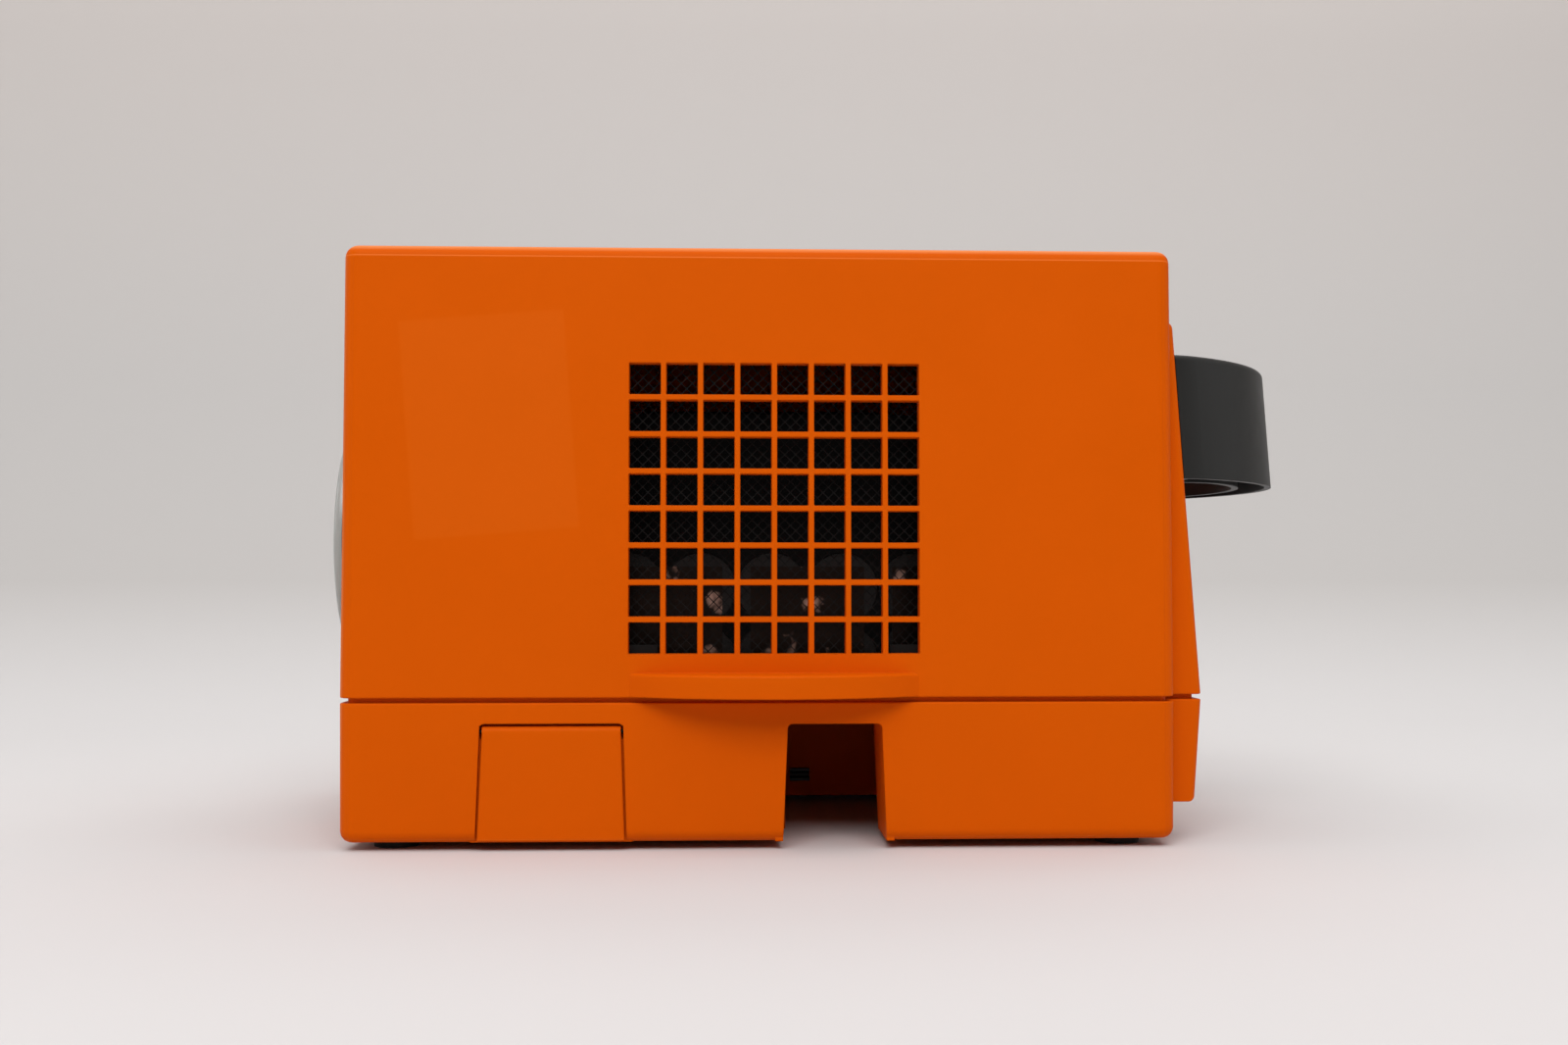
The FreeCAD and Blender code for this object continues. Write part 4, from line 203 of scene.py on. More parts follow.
def orange_abs():
    material, tree, shader = moulded("orange_abs_spark_eroded", SHELL_ORANGE, 0.46,
                                     grain_mm=0.8, grain_depth_mm=0.01, tone=0.035, ior=1.53,
                                     gloss=0.03, edge_mm=0.7)
    place = add(tree, "ShaderNodeTexCoord").outputs["Object"]
    split = add(tree, "ShaderNodeSeparateXYZ", Vector=place)
    x, y, z = (split.outputs[axis] for axis in "XYZ")
    # the long side faces inside their border
    inside_x = band(tree, x, SIDE_LEFT + BORDER, SIDE_RIGHT - BORDER, 0.00025)
    inside_z = ramp(tree, z, shell_high.z - BORDER + 0.00025, shell_high.z - BORDER - 0.00025)
    panel = maths(tree, "MULTIPLY", inside_x, inside_z)
    # painted highlights: a paler line along the top of the step, where it catches the light from
    # above, and a fainter one along a crease a little above the foot
    top_step_highlight = band(tree, z, shell_high.z - BORDER - 0.0002, shell_high.z - BORDER + 0.0002,
                    0.0001)
    foot_crease_highlight = band(tree, z, FOOT_LINE - 0.0002, FOOT_LINE + 0.0002, 0.0001)
    overlay(tree, shader, maths(tree, "MULTIPLY", top_step_highlight, 0.55), "ee7c33")
    overlay(tree, shader, maths(tree, "MULTIPLY", foot_crease_highlight, 0.30), "e2691f")
    # a paler rim on the lid and the left corners: it stands in for the gleam of a rounded
    # edge, and because it is drawn in the colour, it shows under any lamp
    rim = ramp(tree, z, shell_high.z - 0.0022, shell_high.z - 0.0008)
    outward = maths(tree, "ABSOLUTE", y)
    corner = maths(tree, "MULTIPLY", ramp(tree, x, SIDE_LEFT + 0.0017, SIDE_LEFT + 0.0006),
                   ramp(tree, outward, 0.0955, 0.0970))
    painted_rim_highlight = maths(tree, "MAXIMUM", rim, maths(tree, "MULTIPLY", corner, 0.8))
    flat_lid = ramp(tree, z, shell_high.z - 0.0001, shell_high.z - 0.0004)
    overlay(tree, shader, maths(tree, "MULTIPLY", maths(tree, "MULTIPLY", painted_rim_highlight, flat_lid), 0.55),
            "ee9a5a")
    # the blank patch, a little out of square
    centred = add(tree, "ShaderNodeMapping", Vector=place,
                  Location=(-LABEL_MIDDLE.x, 0.0, -LABEL_MIDDLE.z))
    turned = add(tree, "ShaderNodeMapping", Vector=centred.outputs["Vector"],
                 Rotation=(0.0, math.radians(4.5), 0.0))
    leaned = add(tree, "ShaderNodeSeparateXYZ", Vector=turned.outputs["Vector"])
    patch = maths(tree, "MULTIPLY",
                  band(tree, leaned.outputs["X"], -LABEL_HALF_WIDTH, LABEL_HALF_WIDTH, 0.0005),
                  band(tree, leaned.outputs["Z"], -LABEL_HALF_HEIGHT, LABEL_HALF_HEIGHT, 0.0005))
    patch = maths(tree, "MULTIPLY", patch, ramp(tree, y, NEAR_SIDE + 0.010, NEAR_SIDE))
    overlay(tree, shader, maths(tree, "MULTIPLY", patch, 0.35), "da600e")
    # grey specks
    specks = add(tree, "ShaderNodeTexVoronoi", {"feature": "F1"}, Vector=place,
                 Scale=per_metre(26), Randomness=1.0)
    marks = add(tree, "ShaderNodeTexNoise", Vector=place, Scale=per_metre(70), Detail=1.0)
    speck = maths(tree, "MULTIPLY", ramp(tree, specks.outputs["Distance"], 0.020, 0.011),
                  ramp(tree, marks.outputs["Fac"], 0.56, 0.60))
    overlay(tree, shader, maths(tree, "MULTIPLY", speck, 0.35), "6b3a1c")
    grain = shader.inputs["Normal"].links[0].from_socket
    step = add(tree, "ShaderNodeBump", Height=panel, Strength=1.0,
               Distance=BORDER_STEP, Normal=grain)
    tree.links.new(step.outputs["Normal"], shader.inputs["Normal"])
    return material


finish_nodes(orange_abs(), "upper_shell", "lower_shell", "service_door")

# %% [markdown]
# ## Dark mouldings
# The handle is glass-filled nylon, which is tough and has a satin, slightly oily sheen.  The
# control panel, the sockets and the lamp's bezel are black ABS with a finer grain.  The lid
# of the 12 volt socket and the feet are rubber, which is duller and takes dust.  Each colour
# is written a little lighter than black, because no dyed plastic is quite black.

# %% Handle, panel and rubber
handle_nylon, _, handle_shader = moulded("glass_filled_nylon", "212120", 0.46, grain_mm=0.7,
                                         grain_depth_mm=0.012, tone=0.10, ior=1.53,
                                         gloss=0.16, edge_mm=0.6)
finish_nodes(handle_nylon, "carry_handle")
finish_nodes(moulded("panel_abs_black", "1b1b1d", 0.5, 0.6, 0.01, 0.08)[0], "front_panel",
             "service_panel")
finish_nodes(moulded("socket_nylon_black", "141415", 0.38, 0.6, 0.008, 0.10)[0],
             "rocker_frame", "dc_socket", "dimmer_base", "charge_jack", "breaker_body",
             "mains_inlet", "cord_clip")
finish_nodes(moulded("outlet_abs_grey", "2a2a2c", 0.42, 0.6, 0.008, 0.08)[0], "ac_outlet")
finish_nodes(moulded("rocker_polycarbonate", "101011", 0.16, 0.8, 0.002, 0.08, 1.58)[0],
             "main_rocker")
finish_nodes(moulded("button_abs", "3a3b3d", 0.4, 0.5, 0.006, 0.08)[0], "ac_button",
             "dc_button", "lamp_button")
finish_nodes(moulded("knob_abs_black", "171718", 0.4, 0.5, 0.01, 0.1)[0], "dimmer_knob")
finish_nodes(moulded("bezel_abs_black", "1d1d1f", 0.42, 0.7, 0.01, 0.08)[0], "lamp_bezel")
finish_nodes(moulded("reset_button_red", "9c1a12", 0.35, 0.6, 0.006, 0.08)[0],
             "breaker_button")


def rubber(name, hex_value):
    """Moulded rubber: dull, with pale dust caught in its grain."""
    material, tree, shader = moulded(name, hex_value, 0.75, 0.9, 0.02, 0.12, 1.52)
    place = add(tree, "ShaderNodeTexCoord").outputs["Object"]
    dust = add(tree, "ShaderNodeTexNoise", Vector=place, Scale=per_metre(3), Detail=6.0)
    plain = shader.inputs["Base Color"].links[0].from_socket
    dusty = add(tree, "ShaderNodeMix", {"data_type": "RGBA"},
                i0=maths(tree, "MULTIPLY", ramp(tree, dust.outputs["Fac"], 0.5, 0.75), 0.12),
                i6=plain, i7=colour("6f6a64"))
    tree.links.new(dusty.outputs[2], shader.inputs["Base Color"])
    return material


finish_nodes(rubber("rubber_black", "1c1c1c"), "rubber_feet", "dc_socket_lid")
finish_nodes(rubber("cable_pvc_black", "161616"), "mains_lead")
finish_nodes(rubber("silicone_red", "8e1712"), "battery_leads")

# %% [markdown]
# ## Metals
# Port shells are nickel-plated steel, hinge pins are blackened steel and screws are zinc
# plated; the heat sink is extruded aluminium with fine die lines along its length.  The
# battery's nickel strips are painted dark brown as painted shade, with bright patches at
# random that are painted glints where they show through the vents.  A metal's colour is its
# reflection, so each has a metallic value of one and differs in colour and roughness.

# %% Plated steel and aluminium
def metal(name, hex_value, roughness, line_mm, along):
    """Metal with fine drawn lines along one axis."""
    material, tree, shader = new_material(name)
    place = add(tree, "ShaderNodeTexCoord").outputs["Object"]
    squeeze = tuple(0.04 if axis == along else 1.0 for axis in "XYZ")
    drawn = add(tree, "ShaderNodeMapping", Vector=place, Scale=squeeze)
    lines = add(tree, "ShaderNodeTexNoise", Vector=drawn.outputs["Vector"],
                Scale=per_metre(line_mm), Detail=3.0)
    rough = add(tree, "ShaderNodeMapRange", Value=lines.outputs["Fac"], From_Min=0.3,
                From_Max=0.7, To_Min=roughness - 0.06, To_Max=roughness + 0.1)
    bump = add(tree, "ShaderNodeBump", Height=lines.outputs["Fac"], Strength=0.5,
               Distance=0.00001)
    tree.links.new(rough.outputs["Result"], shader.inputs["Roughness"])
    tree.links.new(bump.outputs["Normal"], shader.inputs["Normal"])
    shader.inputs["Base Color"].default_value = colour(hex_value)
    shader.inputs["Metallic"].default_value = 1.0
    return material


finish_nodes(metal("nickel_plated_steel", "b9b4aa", 0.28, 0.8, "X"), "usb_a_ports",
             "usb_c_port")
finish_nodes(metal("blackened_steel", "1c1a19", 0.5, 0.8, "X"), "door_pin", "lid_pin")


def shaded_strip_with_painted_glints():
    """Nickel strip painted dark brown as painted shade, with painted glints as bright patches
    placed at random.
    """
    material = metal("nickel_strip_painted_shade_and_glints", "2a211d", 0.34, 1.5, "X")
    tree = material.node_tree
    shader = next(n for n in tree.nodes if n.type == "BSDF_PRINCIPLED")
    place = add(tree, "ShaderNodeTexCoord").outputs["Object"]
    # painted glints: bright patches at random in a metal colour whose dark brown is painted shade
    painted_glint_spots = add(tree, "ShaderNodeTexNoise", Vector=place, Scale=per_metre(11), Detail=3.0)
    mix = add(tree, "ShaderNodeMix", {"data_type": "RGBA"},
              i0=ramp(tree, painted_glint_spots.outputs["Fac"], 0.63, 0.72), i6=colour("2a211d"),
              i7=colour("c39c8c"))
    tree.links.new(mix.outputs[2], shader.inputs["Base Color"])
    return material


finish_nodes(shaded_strip_with_painted_glints(), "bus_strips")
finish_nodes(metal("zinc_plated_steel", "a9adb2", 0.35, 0.6, "Z"), "case_screws",
             "handle_screws")
finish_nodes(metal("extruded_aluminium", "b4b7ba", 0.38, 1.0, "Y"), "heat_sink")
finish_nodes(metal("vacuum_metallised_reflector", "d9dbdd", 0.08, 4.0, "X"), "lamp_reflector")

# %% [markdown]
# ## Inner pieces
# Little of the inside shows, only a dim glimpse through the vents.  Holders and tray are
# black nylon and the cells have a dark shrink sleeve.  The battery's board is painted plain
# black as painted shade, which keeps the view through the vents dark.  The other boards are
# laminate under a coloured solder mask.

# %% Inner pieces
finish_nodes(moulded("holder_nylon_black", "0d0c0b", 0.6, 1.0, 0.01, 0.1, gloss=0.12)[0],
             "battery_tray", "cell_holder_near", "cell_holder_middle", "cell_holder_far",
             "board_spacers", "fan_frame", "fan_rotor", "mesh_frame_near", "mesh_frame_far")
finish_nodes(moulded("cell_sleeve_grey", "1d1917", 0.45, 1.2, 0.006, 0.1)[0], "battery_cells")
finish_nodes(moulded("capacitor_sleeve", "15161d", 0.3, 1.2, 0.004, 0.06)[0],
             "power_capacitors")
finish_nodes(moulded("polyester_tape_yellow", "b8912a", 0.35, 1.5, 0.006, 0.06)[0],
             "transformer_coil")
finish_nodes(moulded("ferrite", "2a2a2d", 0.6, 0.5, 0.01, 0.1)[0], "transformer_core")


def solder_mask(name, mask_hex):
    """Circuit board laminate with rows of tinned pads showing through the mask."""
    material, tree, shader = moulded(name, mask_hex, 0.35, 1.0, 0.004, 0.08, 1.55)
    place = add(tree, "ShaderNodeTexCoord").outputs["Object"]
    pads = add(tree, "ShaderNodeTexVoronoi", {"feature": "F1"}, Vector=place,
               Scale=per_metre(2.54), Randomness=0.15)
    area = add(tree, "ShaderNodeTexNoise", Vector=place, Scale=per_metre(16), Detail=0.0)
    pad = maths(tree, "MULTIPLY", ramp(tree, pads.outputs["Distance"], 0.30, 0.26),
                ramp(tree, area.outputs["Fac"], 0.50, 0.52))
    plain = shader.inputs["Base Color"].links[0].from_socket
    tinned = add(tree, "ShaderNodeMix", {"data_type": "RGBA"}, i0=pad, i6=plain,
                 i7=colour("b8b6ae"))
    tree.links.new(tinned.outputs[2], shader.inputs["Base Color"])
    return material


finish_nodes(solder_mask("board_green", "0f4a26"), "inverter_board", "panel_board")
# the battery's board is painted plain black, a painted shade that keeps the view through the vents
# dark
finish_nodes(moulded("board_painted_shade_black", "0a0a0a", 0.7, 1.0, 0.01, 0.1, gloss=0.1)[0],
             "bms_board")
finish_nodes(solder_mask("board_white", "d8d8d4"), "lamp_board")

# %% [markdown]
# ## Clear pieces
# The lamp's lens is frosted polycarbonate with moulded rings that spread the beam.  The
# display's window is smoked acrylic over a dark liquid crystal.

# %% Lens and window
lens_low, lens_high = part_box("lamp_lens")
lens_middle = (lens_low + lens_high) / 2
LENS_RING_MM = 6.4
# a Wave texture of scale 1 turns through 20 radians in a metre, and a ring takes a full turn
WAVE_SCALE_PER_RING = 2 * math.pi / 20


def frosted_lens():
    material, tree, shader = new_material("frosted_polycarbonate")
    place = add(tree, "ShaderNodeTexCoord").outputs["Object"]
    centred = add(tree, "ShaderNodeMapping", Vector=place,
                  Location=(0.0, -lens_middle.y, -lens_middle.z))
    flat = add(tree, "ShaderNodeMapping", Vector=centred.outputs["Vector"],
               Scale=(0.0, 1.0, 1.0))
    rings = add(tree, "ShaderNodeTexWave", {"wave_type": "RINGS", "rings_direction": "SPHERICAL"},
                Vector=flat.outputs["Vector"],
                Scale=per_metre(LENS_RING_MM) * WAVE_SCALE_PER_RING)
    bump = add(tree, "ShaderNodeBump", Height=rings.outputs["Fac"], Strength=0.6,
               Distance=0.0004)
    tree.links.new(bump.outputs["Normal"], shader.inputs["Normal"])
    shader.inputs["Base Color"].default_value = colour("d9dcd8")
    shader.inputs["Roughness"].default_value = 0.28
    shader.inputs["IOR"].default_value = 1.58
    shader.inputs["Transmission Weight"].default_value = 0.55
    return material


def smoked_acrylic():
    material, tree, shader = new_material("smoked_acrylic")
    place = add(tree, "ShaderNodeTexCoord").outputs["Object"]
    wipe = add(tree, "ShaderNodeTexNoise", Vector=place, Scale=per_metre(9), Detail=3.0)
    rough = add(tree, "ShaderNodeMapRange", Value=wipe.outputs["Fac"], To_Min=0.04, To_Max=0.14)
    tree.links.new(rough.outputs["Result"], shader.inputs["Roughness"])
    shader.inputs["Base Color"].default_value = colour("9ca0a4")
    shader.inputs["IOR"].default_value = 1.49
    shader.inputs["Transmission Weight"].default_value = 0.9
    return material


finish_nodes(frosted_lens(), "lamp_lens")
finish_nodes(smoked_acrylic(), "display_window")
finish_nodes(moulded("liquid_crystal_dark", "16202a", 0.2, 1.2, 0.001, 0.05)[0],
             "display_module")

# %% [markdown]
# ## The nets behind the vents
# A moulded nylon net keeps fingers and grit out.  Its holes are round and lie on a diagonal
# grid, 2.8 mm apart, with thin webs between them.  It is made as one would cut it: a grid is
# turned by 45 degrees and trimmed to the frame, each square face is inset to leave a web,
# the middles are deleted, one subdivision rounds the holes, and Solidify gives the web its
# thickness.

# %% Net
NET_PITCH = 0.0028
NET_WEB = 0.00028
NET_THICKNESS = 0.0005
HOLE_CREASE = 0.55
net_material = moulded("net_nylon_black", "0b0a09", 0.6, 0.8, 0.006, 0.08, gloss=0.15)[0]


def trim_net(axis, edge, outward):
    """Cut the sheet at a plane and drop what lies beyond it."""
    normal = Vector((0, 0, 0))
    normal[axis] = outward
    point = Vector((0, 0, 0))
    point[axis] = edge
    bpy.ops.mesh.select_all(action="SELECT")
    bpy.ops.mesh.bisect(plane_co=point, plane_no=normal, clear_outer=True)


def vent_net(node):
    low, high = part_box(node)
    middle = (low + high) / 2
    span = high.x - low.x
    cells = math.ceil(span * math.sqrt(2) / NET_PITCH)
    clear_selection()
    bpy.ops.mesh.primitive_grid_add(x_subdivisions=cells, y_subdivisions=cells,
                                    size=cells * NET_PITCH)
    net = bpy.context.object
    net.name = "net_" + node.split("_")[-1]
    bpy.ops.object.mode_set(mode="EDIT")
    bpy.ops.mesh.select_all(action="SELECT")
    bpy.ops.transform.rotate(value=math.radians(45), orient_axis="Z",
                             center_override=(0, 0, 0))
    for axis in (0, 1):
        trim_net(axis, span / 2, 1)
        trim_net(axis, -span / 2, -1)
    bpy.ops.mesh.select_all(action="SELECT")
    bpy.ops.mesh.inset(thickness=NET_WEB / 2, depth=0, use_individual=True)
    bpy.ops.mesh.delete(type="FACE")
    bpy.ops.mesh.select_all(action="SELECT")
    bpy.ops.transform.edge_crease(value=HOLE_CREASE)
    bpy.ops.transform.rotate(value=math.radians(90), orient_axis="X",
                             center_override=(0, 0, 0))
    bpy.ops.transform.translate(value=middle)
    bpy.ops.object.mode_set(mode="OBJECT")
    rounder = net.modifiers.new("round the holes", "SUBSURF")
    rounder.levels = rounder.render_levels = 1
    wall = net.modifiers.new("web thickness", "SOLIDIFY")
    wall.thickness = NET_THICKNESS
    wall.offset = 0
    for modifier in ("round the holes", "web thickness"):
        bpy.ops.object.modifier_apply(modifier=modifier)
    net.data.materials.clear()
    net.data.materials.append(net_material)
    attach(net, "housing")
    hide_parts(node)
    print(net.name, "has", len(net.data.polygons), "faces")


for sheet_node in ("grille_mesh_near", "grille_mesh_far"):
    vent_net(sheet_node)

# %% [markdown]
# ## Print and lights on the control panel
# The panel's marks are pad printed in pale grey ink: a scale round the dimmer, a thin frame
# round the display and the ports, and a sign on each button.  Pad printing leaves a film of a
# few hundredths of a millimetre, so each mark is a thin raised shape and casts no real
# shadow.  Every mark is modelled flat, with x across the panel, y up it and z out of it, and
# one function lays it on the leaning face.

# %% Laying marks on the panel
# the lean and the middle of the panel's face are copied from the CAD drawing's sizes
PANEL_LEAN = math.radians(3.9)
PANEL_MIDDLE = Vector((0.1396531, 0.0, 0.0941088))
ACROSS = Vector((0, 1, 0))
UP = Vector((-math.sin(PANEL_LEAN), 0, math.cos(PANEL_LEAN)))
OUT = Vector((math.cos(PANEL_LEAN), 0, math.sin(PANEL_LEAN)))
INK_FILM = 0.00006
ink_pale = moulded("pad_printed_ink_grey", "c6c7c4", 0.5, 0.6, 0.002, 0.05)[0]


def lay_on_panel(piece, name, material, body="housing"):
    """Turn a flat mark to the panel's lean and set it on the panel's face."""
    lean = Matrix((ACROSS, UP, OUT)).transposed().to_4x4()
    piece.data.transform(Matrix.Translation(PANEL_MIDDLE) @ lean)
    piece.name = name
    piece.data.materials.clear()
    piece.data.materials.append(material)
    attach(piece, body)
    return piece


def join_marks(marks):
    clear_selection()
    for mark in marks:
        mark.select_set(True)
    bpy.context.view_layer.objects.active = marks[0]
    bpy.ops.object.join()
    return bpy.context.object


def bar(u, v, width, height, film=INK_FILM, lift=0.0):
    """A flat bar with its corners taken off."""
    clear_selection()
    bpy.ops.mesh.primitive_cube_add(size=1)
    mark = bpy.context.object
    bpy.ops.object.mode_set(mode="EDIT")
    bpy.ops.transform.resize(value=(width, height, film))
    bpy.ops.transform.translate(value=(u, v, film / 2 + lift))
    bpy.ops.object.mode_set(mode="OBJECT")
    soft = mark.modifiers.new("soft corners", "BEVEL")
    soft.width = min(width, height) * 0.3
    soft.segments = 2
    soft.affect = "EDGES"
    bpy.ops.object.modifier_apply(modifier="soft corners")
    return mark


def lettering(text, u, v, size, film=INK_FILM, lift=0.0):
    """Plain figures or signs, as a mesh with its place in the mesh."""
    clear_selection()
    bpy.ops.object.text_add()
    mark = bpy.context.object
    mark.data.body = text
    mark.data.size = size
    mark.data.align_x = "CENTER"
    mark.data.align_y = "CENTER"
    mark.data.extrude = film / 2
    bpy.ops.object.convert(target="MESH")
    mark.data.transform(Matrix.Translation((u, v, film / 2 + lift)))
    return mark


print("panel leans", round(math.degrees(PANEL_LEAN), 1), "degrees")

# %% [markdown]
# ## The dimmer's scale
# Eleven ticks stand round the knob over 260 degrees, longer at the ends and the middle, with
# plain figures outside them.  One tick is modelled and turned about the knob's axis for each
# place.  The turn is the same both ways from the top, so its sense doesn't matter.

# %% Ticks and figures
DIMMER = (0.058, -0.019)
TICK_REACH = 0.0104


def tick_angle(step):
    """The turn from the top for each of eleven steps over 260 degrees."""
    return math.radians(-130 + 26 * step)


marks = []
for step in range(11):
    angle = tick_angle(step)
    length = 0.0021 if step % 5 == 0 else 0.0013
    tick = bar(0, TICK_REACH + length / 2, 0.00042, length)
    tick.data.transform(Matrix.Translation((*DIMMER, 0)) @ Matrix.Rotation(-angle, 4, "Z"))
    marks.append(tick)
for figure, step in (("0", 0), ("5", 5), ("10", 10)):
    angle = tick_angle(step)
    reach = 0.0141 if step != 5 else 0.0139
    marks.append(lettering(figure, DIMMER[0] + reach * math.sin(angle),
                           DIMMER[1] + reach * math.cos(angle), 0.0024))
scale = lay_on_panel(join_marks(marks), "print_dimmer_scale", ink_pale)
print(scale.name, "has", len(scale.data.polygons), "faces")

# %% [markdown]
# ## Frames round the display and the ports
# A printed hairline with round corners ties each group together.  A plane takes round
# corners from a vertex bevel, an inset leaves a hairline frame, and extruding the frame
# gives it the thickness of the ink.

# %% Frames
def hairline_frame(u, v, width, height, corner, line=0.00035):
    clear_selection()
    bpy.ops.mesh.primitive_plane_add(size=1)
    mark = bpy.context.object
    bpy.ops.object.mode_set(mode="EDIT")
    bpy.ops.transform.resize(value=(width, height, 1))
    bpy.ops.mesh.bevel(offset=corner, segments=6, affect="VERTICES")
    bpy.ops.mesh.inset(thickness=line, depth=0)
    bpy.ops.mesh.delete(type="FACE")
    bpy.ops.mesh.select_all(action="SELECT")
    bpy.ops.mesh.extrude_region_move(TRANSFORM_OT_translate={"value": (0, 0, INK_FILM)})
    bpy.ops.mesh.select_all(action="SELECT")
    bpy.ops.transform.translate(value=(u, v, 0))
    bpy.ops.mesh.normals_make_consistent(inside=False)
    bpy.ops.object.mode_set(mode="OBJECT")
    return mark


frames = [hairline_frame(0.020, 0.017, 0.0490, 0.0246, 0.0024),
          hairline_frame(0.020, -0.0132, 0.0490, 0.0300, 0.0024),
          hairline_frame(-0.030, 0.0, 0.0445, 0.0548, 0.0030)]
frame_print = lay_on_panel(join_marks(frames), "print_frames", ink_pale)
print(frame_print.name, "has", len(frame_print.data.polygons), "faces")

# %% [markdown]
# ## Signs on the buttons
# Each button carries one sign, so it rides with its button and sinks when it is pressed: a
# wave for mains, two bars for direct current and a small lamp ring.  Above each button a
# little light pipe shows through the panel.

# %% Button signs and light pipes
BUTTON_ROW = -0.003
BUTTON_RADIUS = 0.0045
PIPE_ROW = 0.0035
BUTTON_PLACES = {"ac_button": 0.004, "dc_button": 0.020, "lamp_button": 0.036}


def button_lift(name):
    """How far the button's cap stands out of the panel's face."""
    rise = BUTTON_ROW + BUTTON_RADIUS
    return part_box(name)[1].x + rise * math.sin(PANEL_LEAN) - PANEL_MIDDLE.x


def ring(u, v, radius, width, film, lift):
    clear_selection()
    bpy.ops.mesh.primitive_circle_add(vertices=32, radius=radius, fill_type="NGON")
    mark = bpy.context.object
    bpy.ops.object.mode_set(mode="EDIT")
    bpy.ops.mesh.inset(thickness=width, depth=0)
    bpy.ops.mesh.delete(type="FACE")
    bpy.ops.mesh.select_all(action="SELECT")
    bpy.ops.mesh.extrude_region_move(TRANSFORM_OT_translate={"value": (0, 0, film)})
    bpy.ops.mesh.select_all(action="SELECT")
    bpy.ops.transform.translate(value=(u, v, lift))
    bpy.ops.mesh.normals_make_consistent(inside=False)
    bpy.ops.object.mode_set(mode="OBJECT")
    return mark


for button, u in BUTTON_PLACES.items():
    lift = button_lift(button)
    if button == "ac_button":
        sign = [lettering("~", u, BUTTON_ROW, 0.0062, lift=lift)]
    elif button == "dc_button":
        sign = [bar(u, BUTTON_ROW + 0.0007, 0.0042, 0.0005, lift=lift)]
        sign += [bar(u + shift, BUTTON_ROW - 0.0007, 0.0011, 0.0005, lift=lift)
                 for shift in (-0.00155, 0.0, 0.00155)]
    else:
        sign = [ring(u, BUTTON_ROW, 0.0014, 0.0004, INK_FILM, lift)]
        for step in range(8):
            ray = bar(0, 0.0024, 0.00035, 0.0010, lift=lift)
            ray.data.transform(Matrix.Translation((u, BUTTON_ROW, 0))
                               @ Matrix.Rotation(math.radians(45 * step), 4, "Z"))
            sign.append(ray)
    lay_on_panel(join_marks(sign), "sign_" + button, ink_pale, button)


def light_pipe(u, v, radius=0.0008, height=0.0004):
    clear_selection()
    bpy.ops.mesh.primitive_cylinder_add(vertices=24, radius=radius, depth=height)
    dot = bpy.context.object
    bpy.ops.object.mode_set(mode="EDIT")
    bpy.ops.transform.translate(value=(u, v, height / 2))
    bpy.ops.object.mode_set(mode="OBJECT")
    dome = dot.modifiers.new("domed rim", "BEVEL")
    dome.width = height * 0.8
    dome.segments = 3
    dome.limit_method = "ANGLE"
    bpy.ops.object.modifier_apply(modifier="domed rim")
    return dot


pipes = [light_pipe(u, PIPE_ROW) for u in BUTTON_PLACES.values()]
pipe_material = moulded("light_pipe_acrylic_green", "3f6e46", 0.15, 0.8, 0.001, 0.05, 1.49,
                        gloss=0.5)[0]
lay_on_panel(join_marks(pipes), "light_pipes", pipe_material)

# %% [markdown]
# ## The display's segments
# A segment display shows its figures as bars on the glass, seen through the smoked window:
# three figures at full charge and a row of blocks as a gauge.  The bars are painted pale, a
# painted glow of the lit display, and give off no light.  A bar with soft corners stands for
# one segment, and each figure is a set of such bars.

# %% Segments
# the glass lies this far behind the panel's face, just under the smoked window
WINDOW_BACK = -0.0012
SEGMENT_FILM = 0.00005
SEGMENTS = {"0": "abcdef", "1": "bc"}


def figure_bars(figure, u, v, width=0.0052, height=0.0096, stroke=0.0009):
    half, quarter = width / 2, height / 4
    places = {"a": (0, 2 * quarter, 1), "d": (0, -2 * quarter, 1),
              "f": (-half, quarter, 0), "b": (half, quarter, 0),
              "e": (-half, -quarter, 0), "c": (half, -quarter, 0)}
    bars = []
    for segment in SEGMENTS[figure]:
        shift_u, shift_v, level = places[segment]
        long, short = (width - stroke, stroke) if level else (stroke, 2 * quarter - stroke)
        bars.append(bar(u + shift_u, v + shift_v, long, short, SEGMENT_FILM, WINDOW_BACK))
    return bars


segments = []
for figure, u in (("1", 0.0060), ("0", 0.0140), ("0", 0.0220)):
    segments += figure_bars(figure, u, 0.0178)
segments += [bar(0.0322, 0.0121 + 0.0024 * row, 0.0058, 0.0016, SEGMENT_FILM, WINDOW_BACK)
             for row in range(5)]
# the segments are painted pale: a painted glow of the lit display, with no light of their own
segment_painted_glow = moulded("liquid_crystal_painted_glow", "cfe2dd", 0.3, 0.6, 0.001, 0.05)[0]
lay_on_panel(join_marks(segments), "display_segments", segment_painted_glow)
print("display segments laid behind the window")

# %% [markdown]
# ## Floor and backdrop
# The studio is one pale sheet that lies flat and sweeps up into a wall, so there is no line
# at the horizon.  It is made from a flat plane whose back edge is extruded up, and the corner
# is softened with a wide bevel.  The paper's colour carries painted shade: it darkens from
# the floor into the foot of the wall and grows a little paler again higher up.

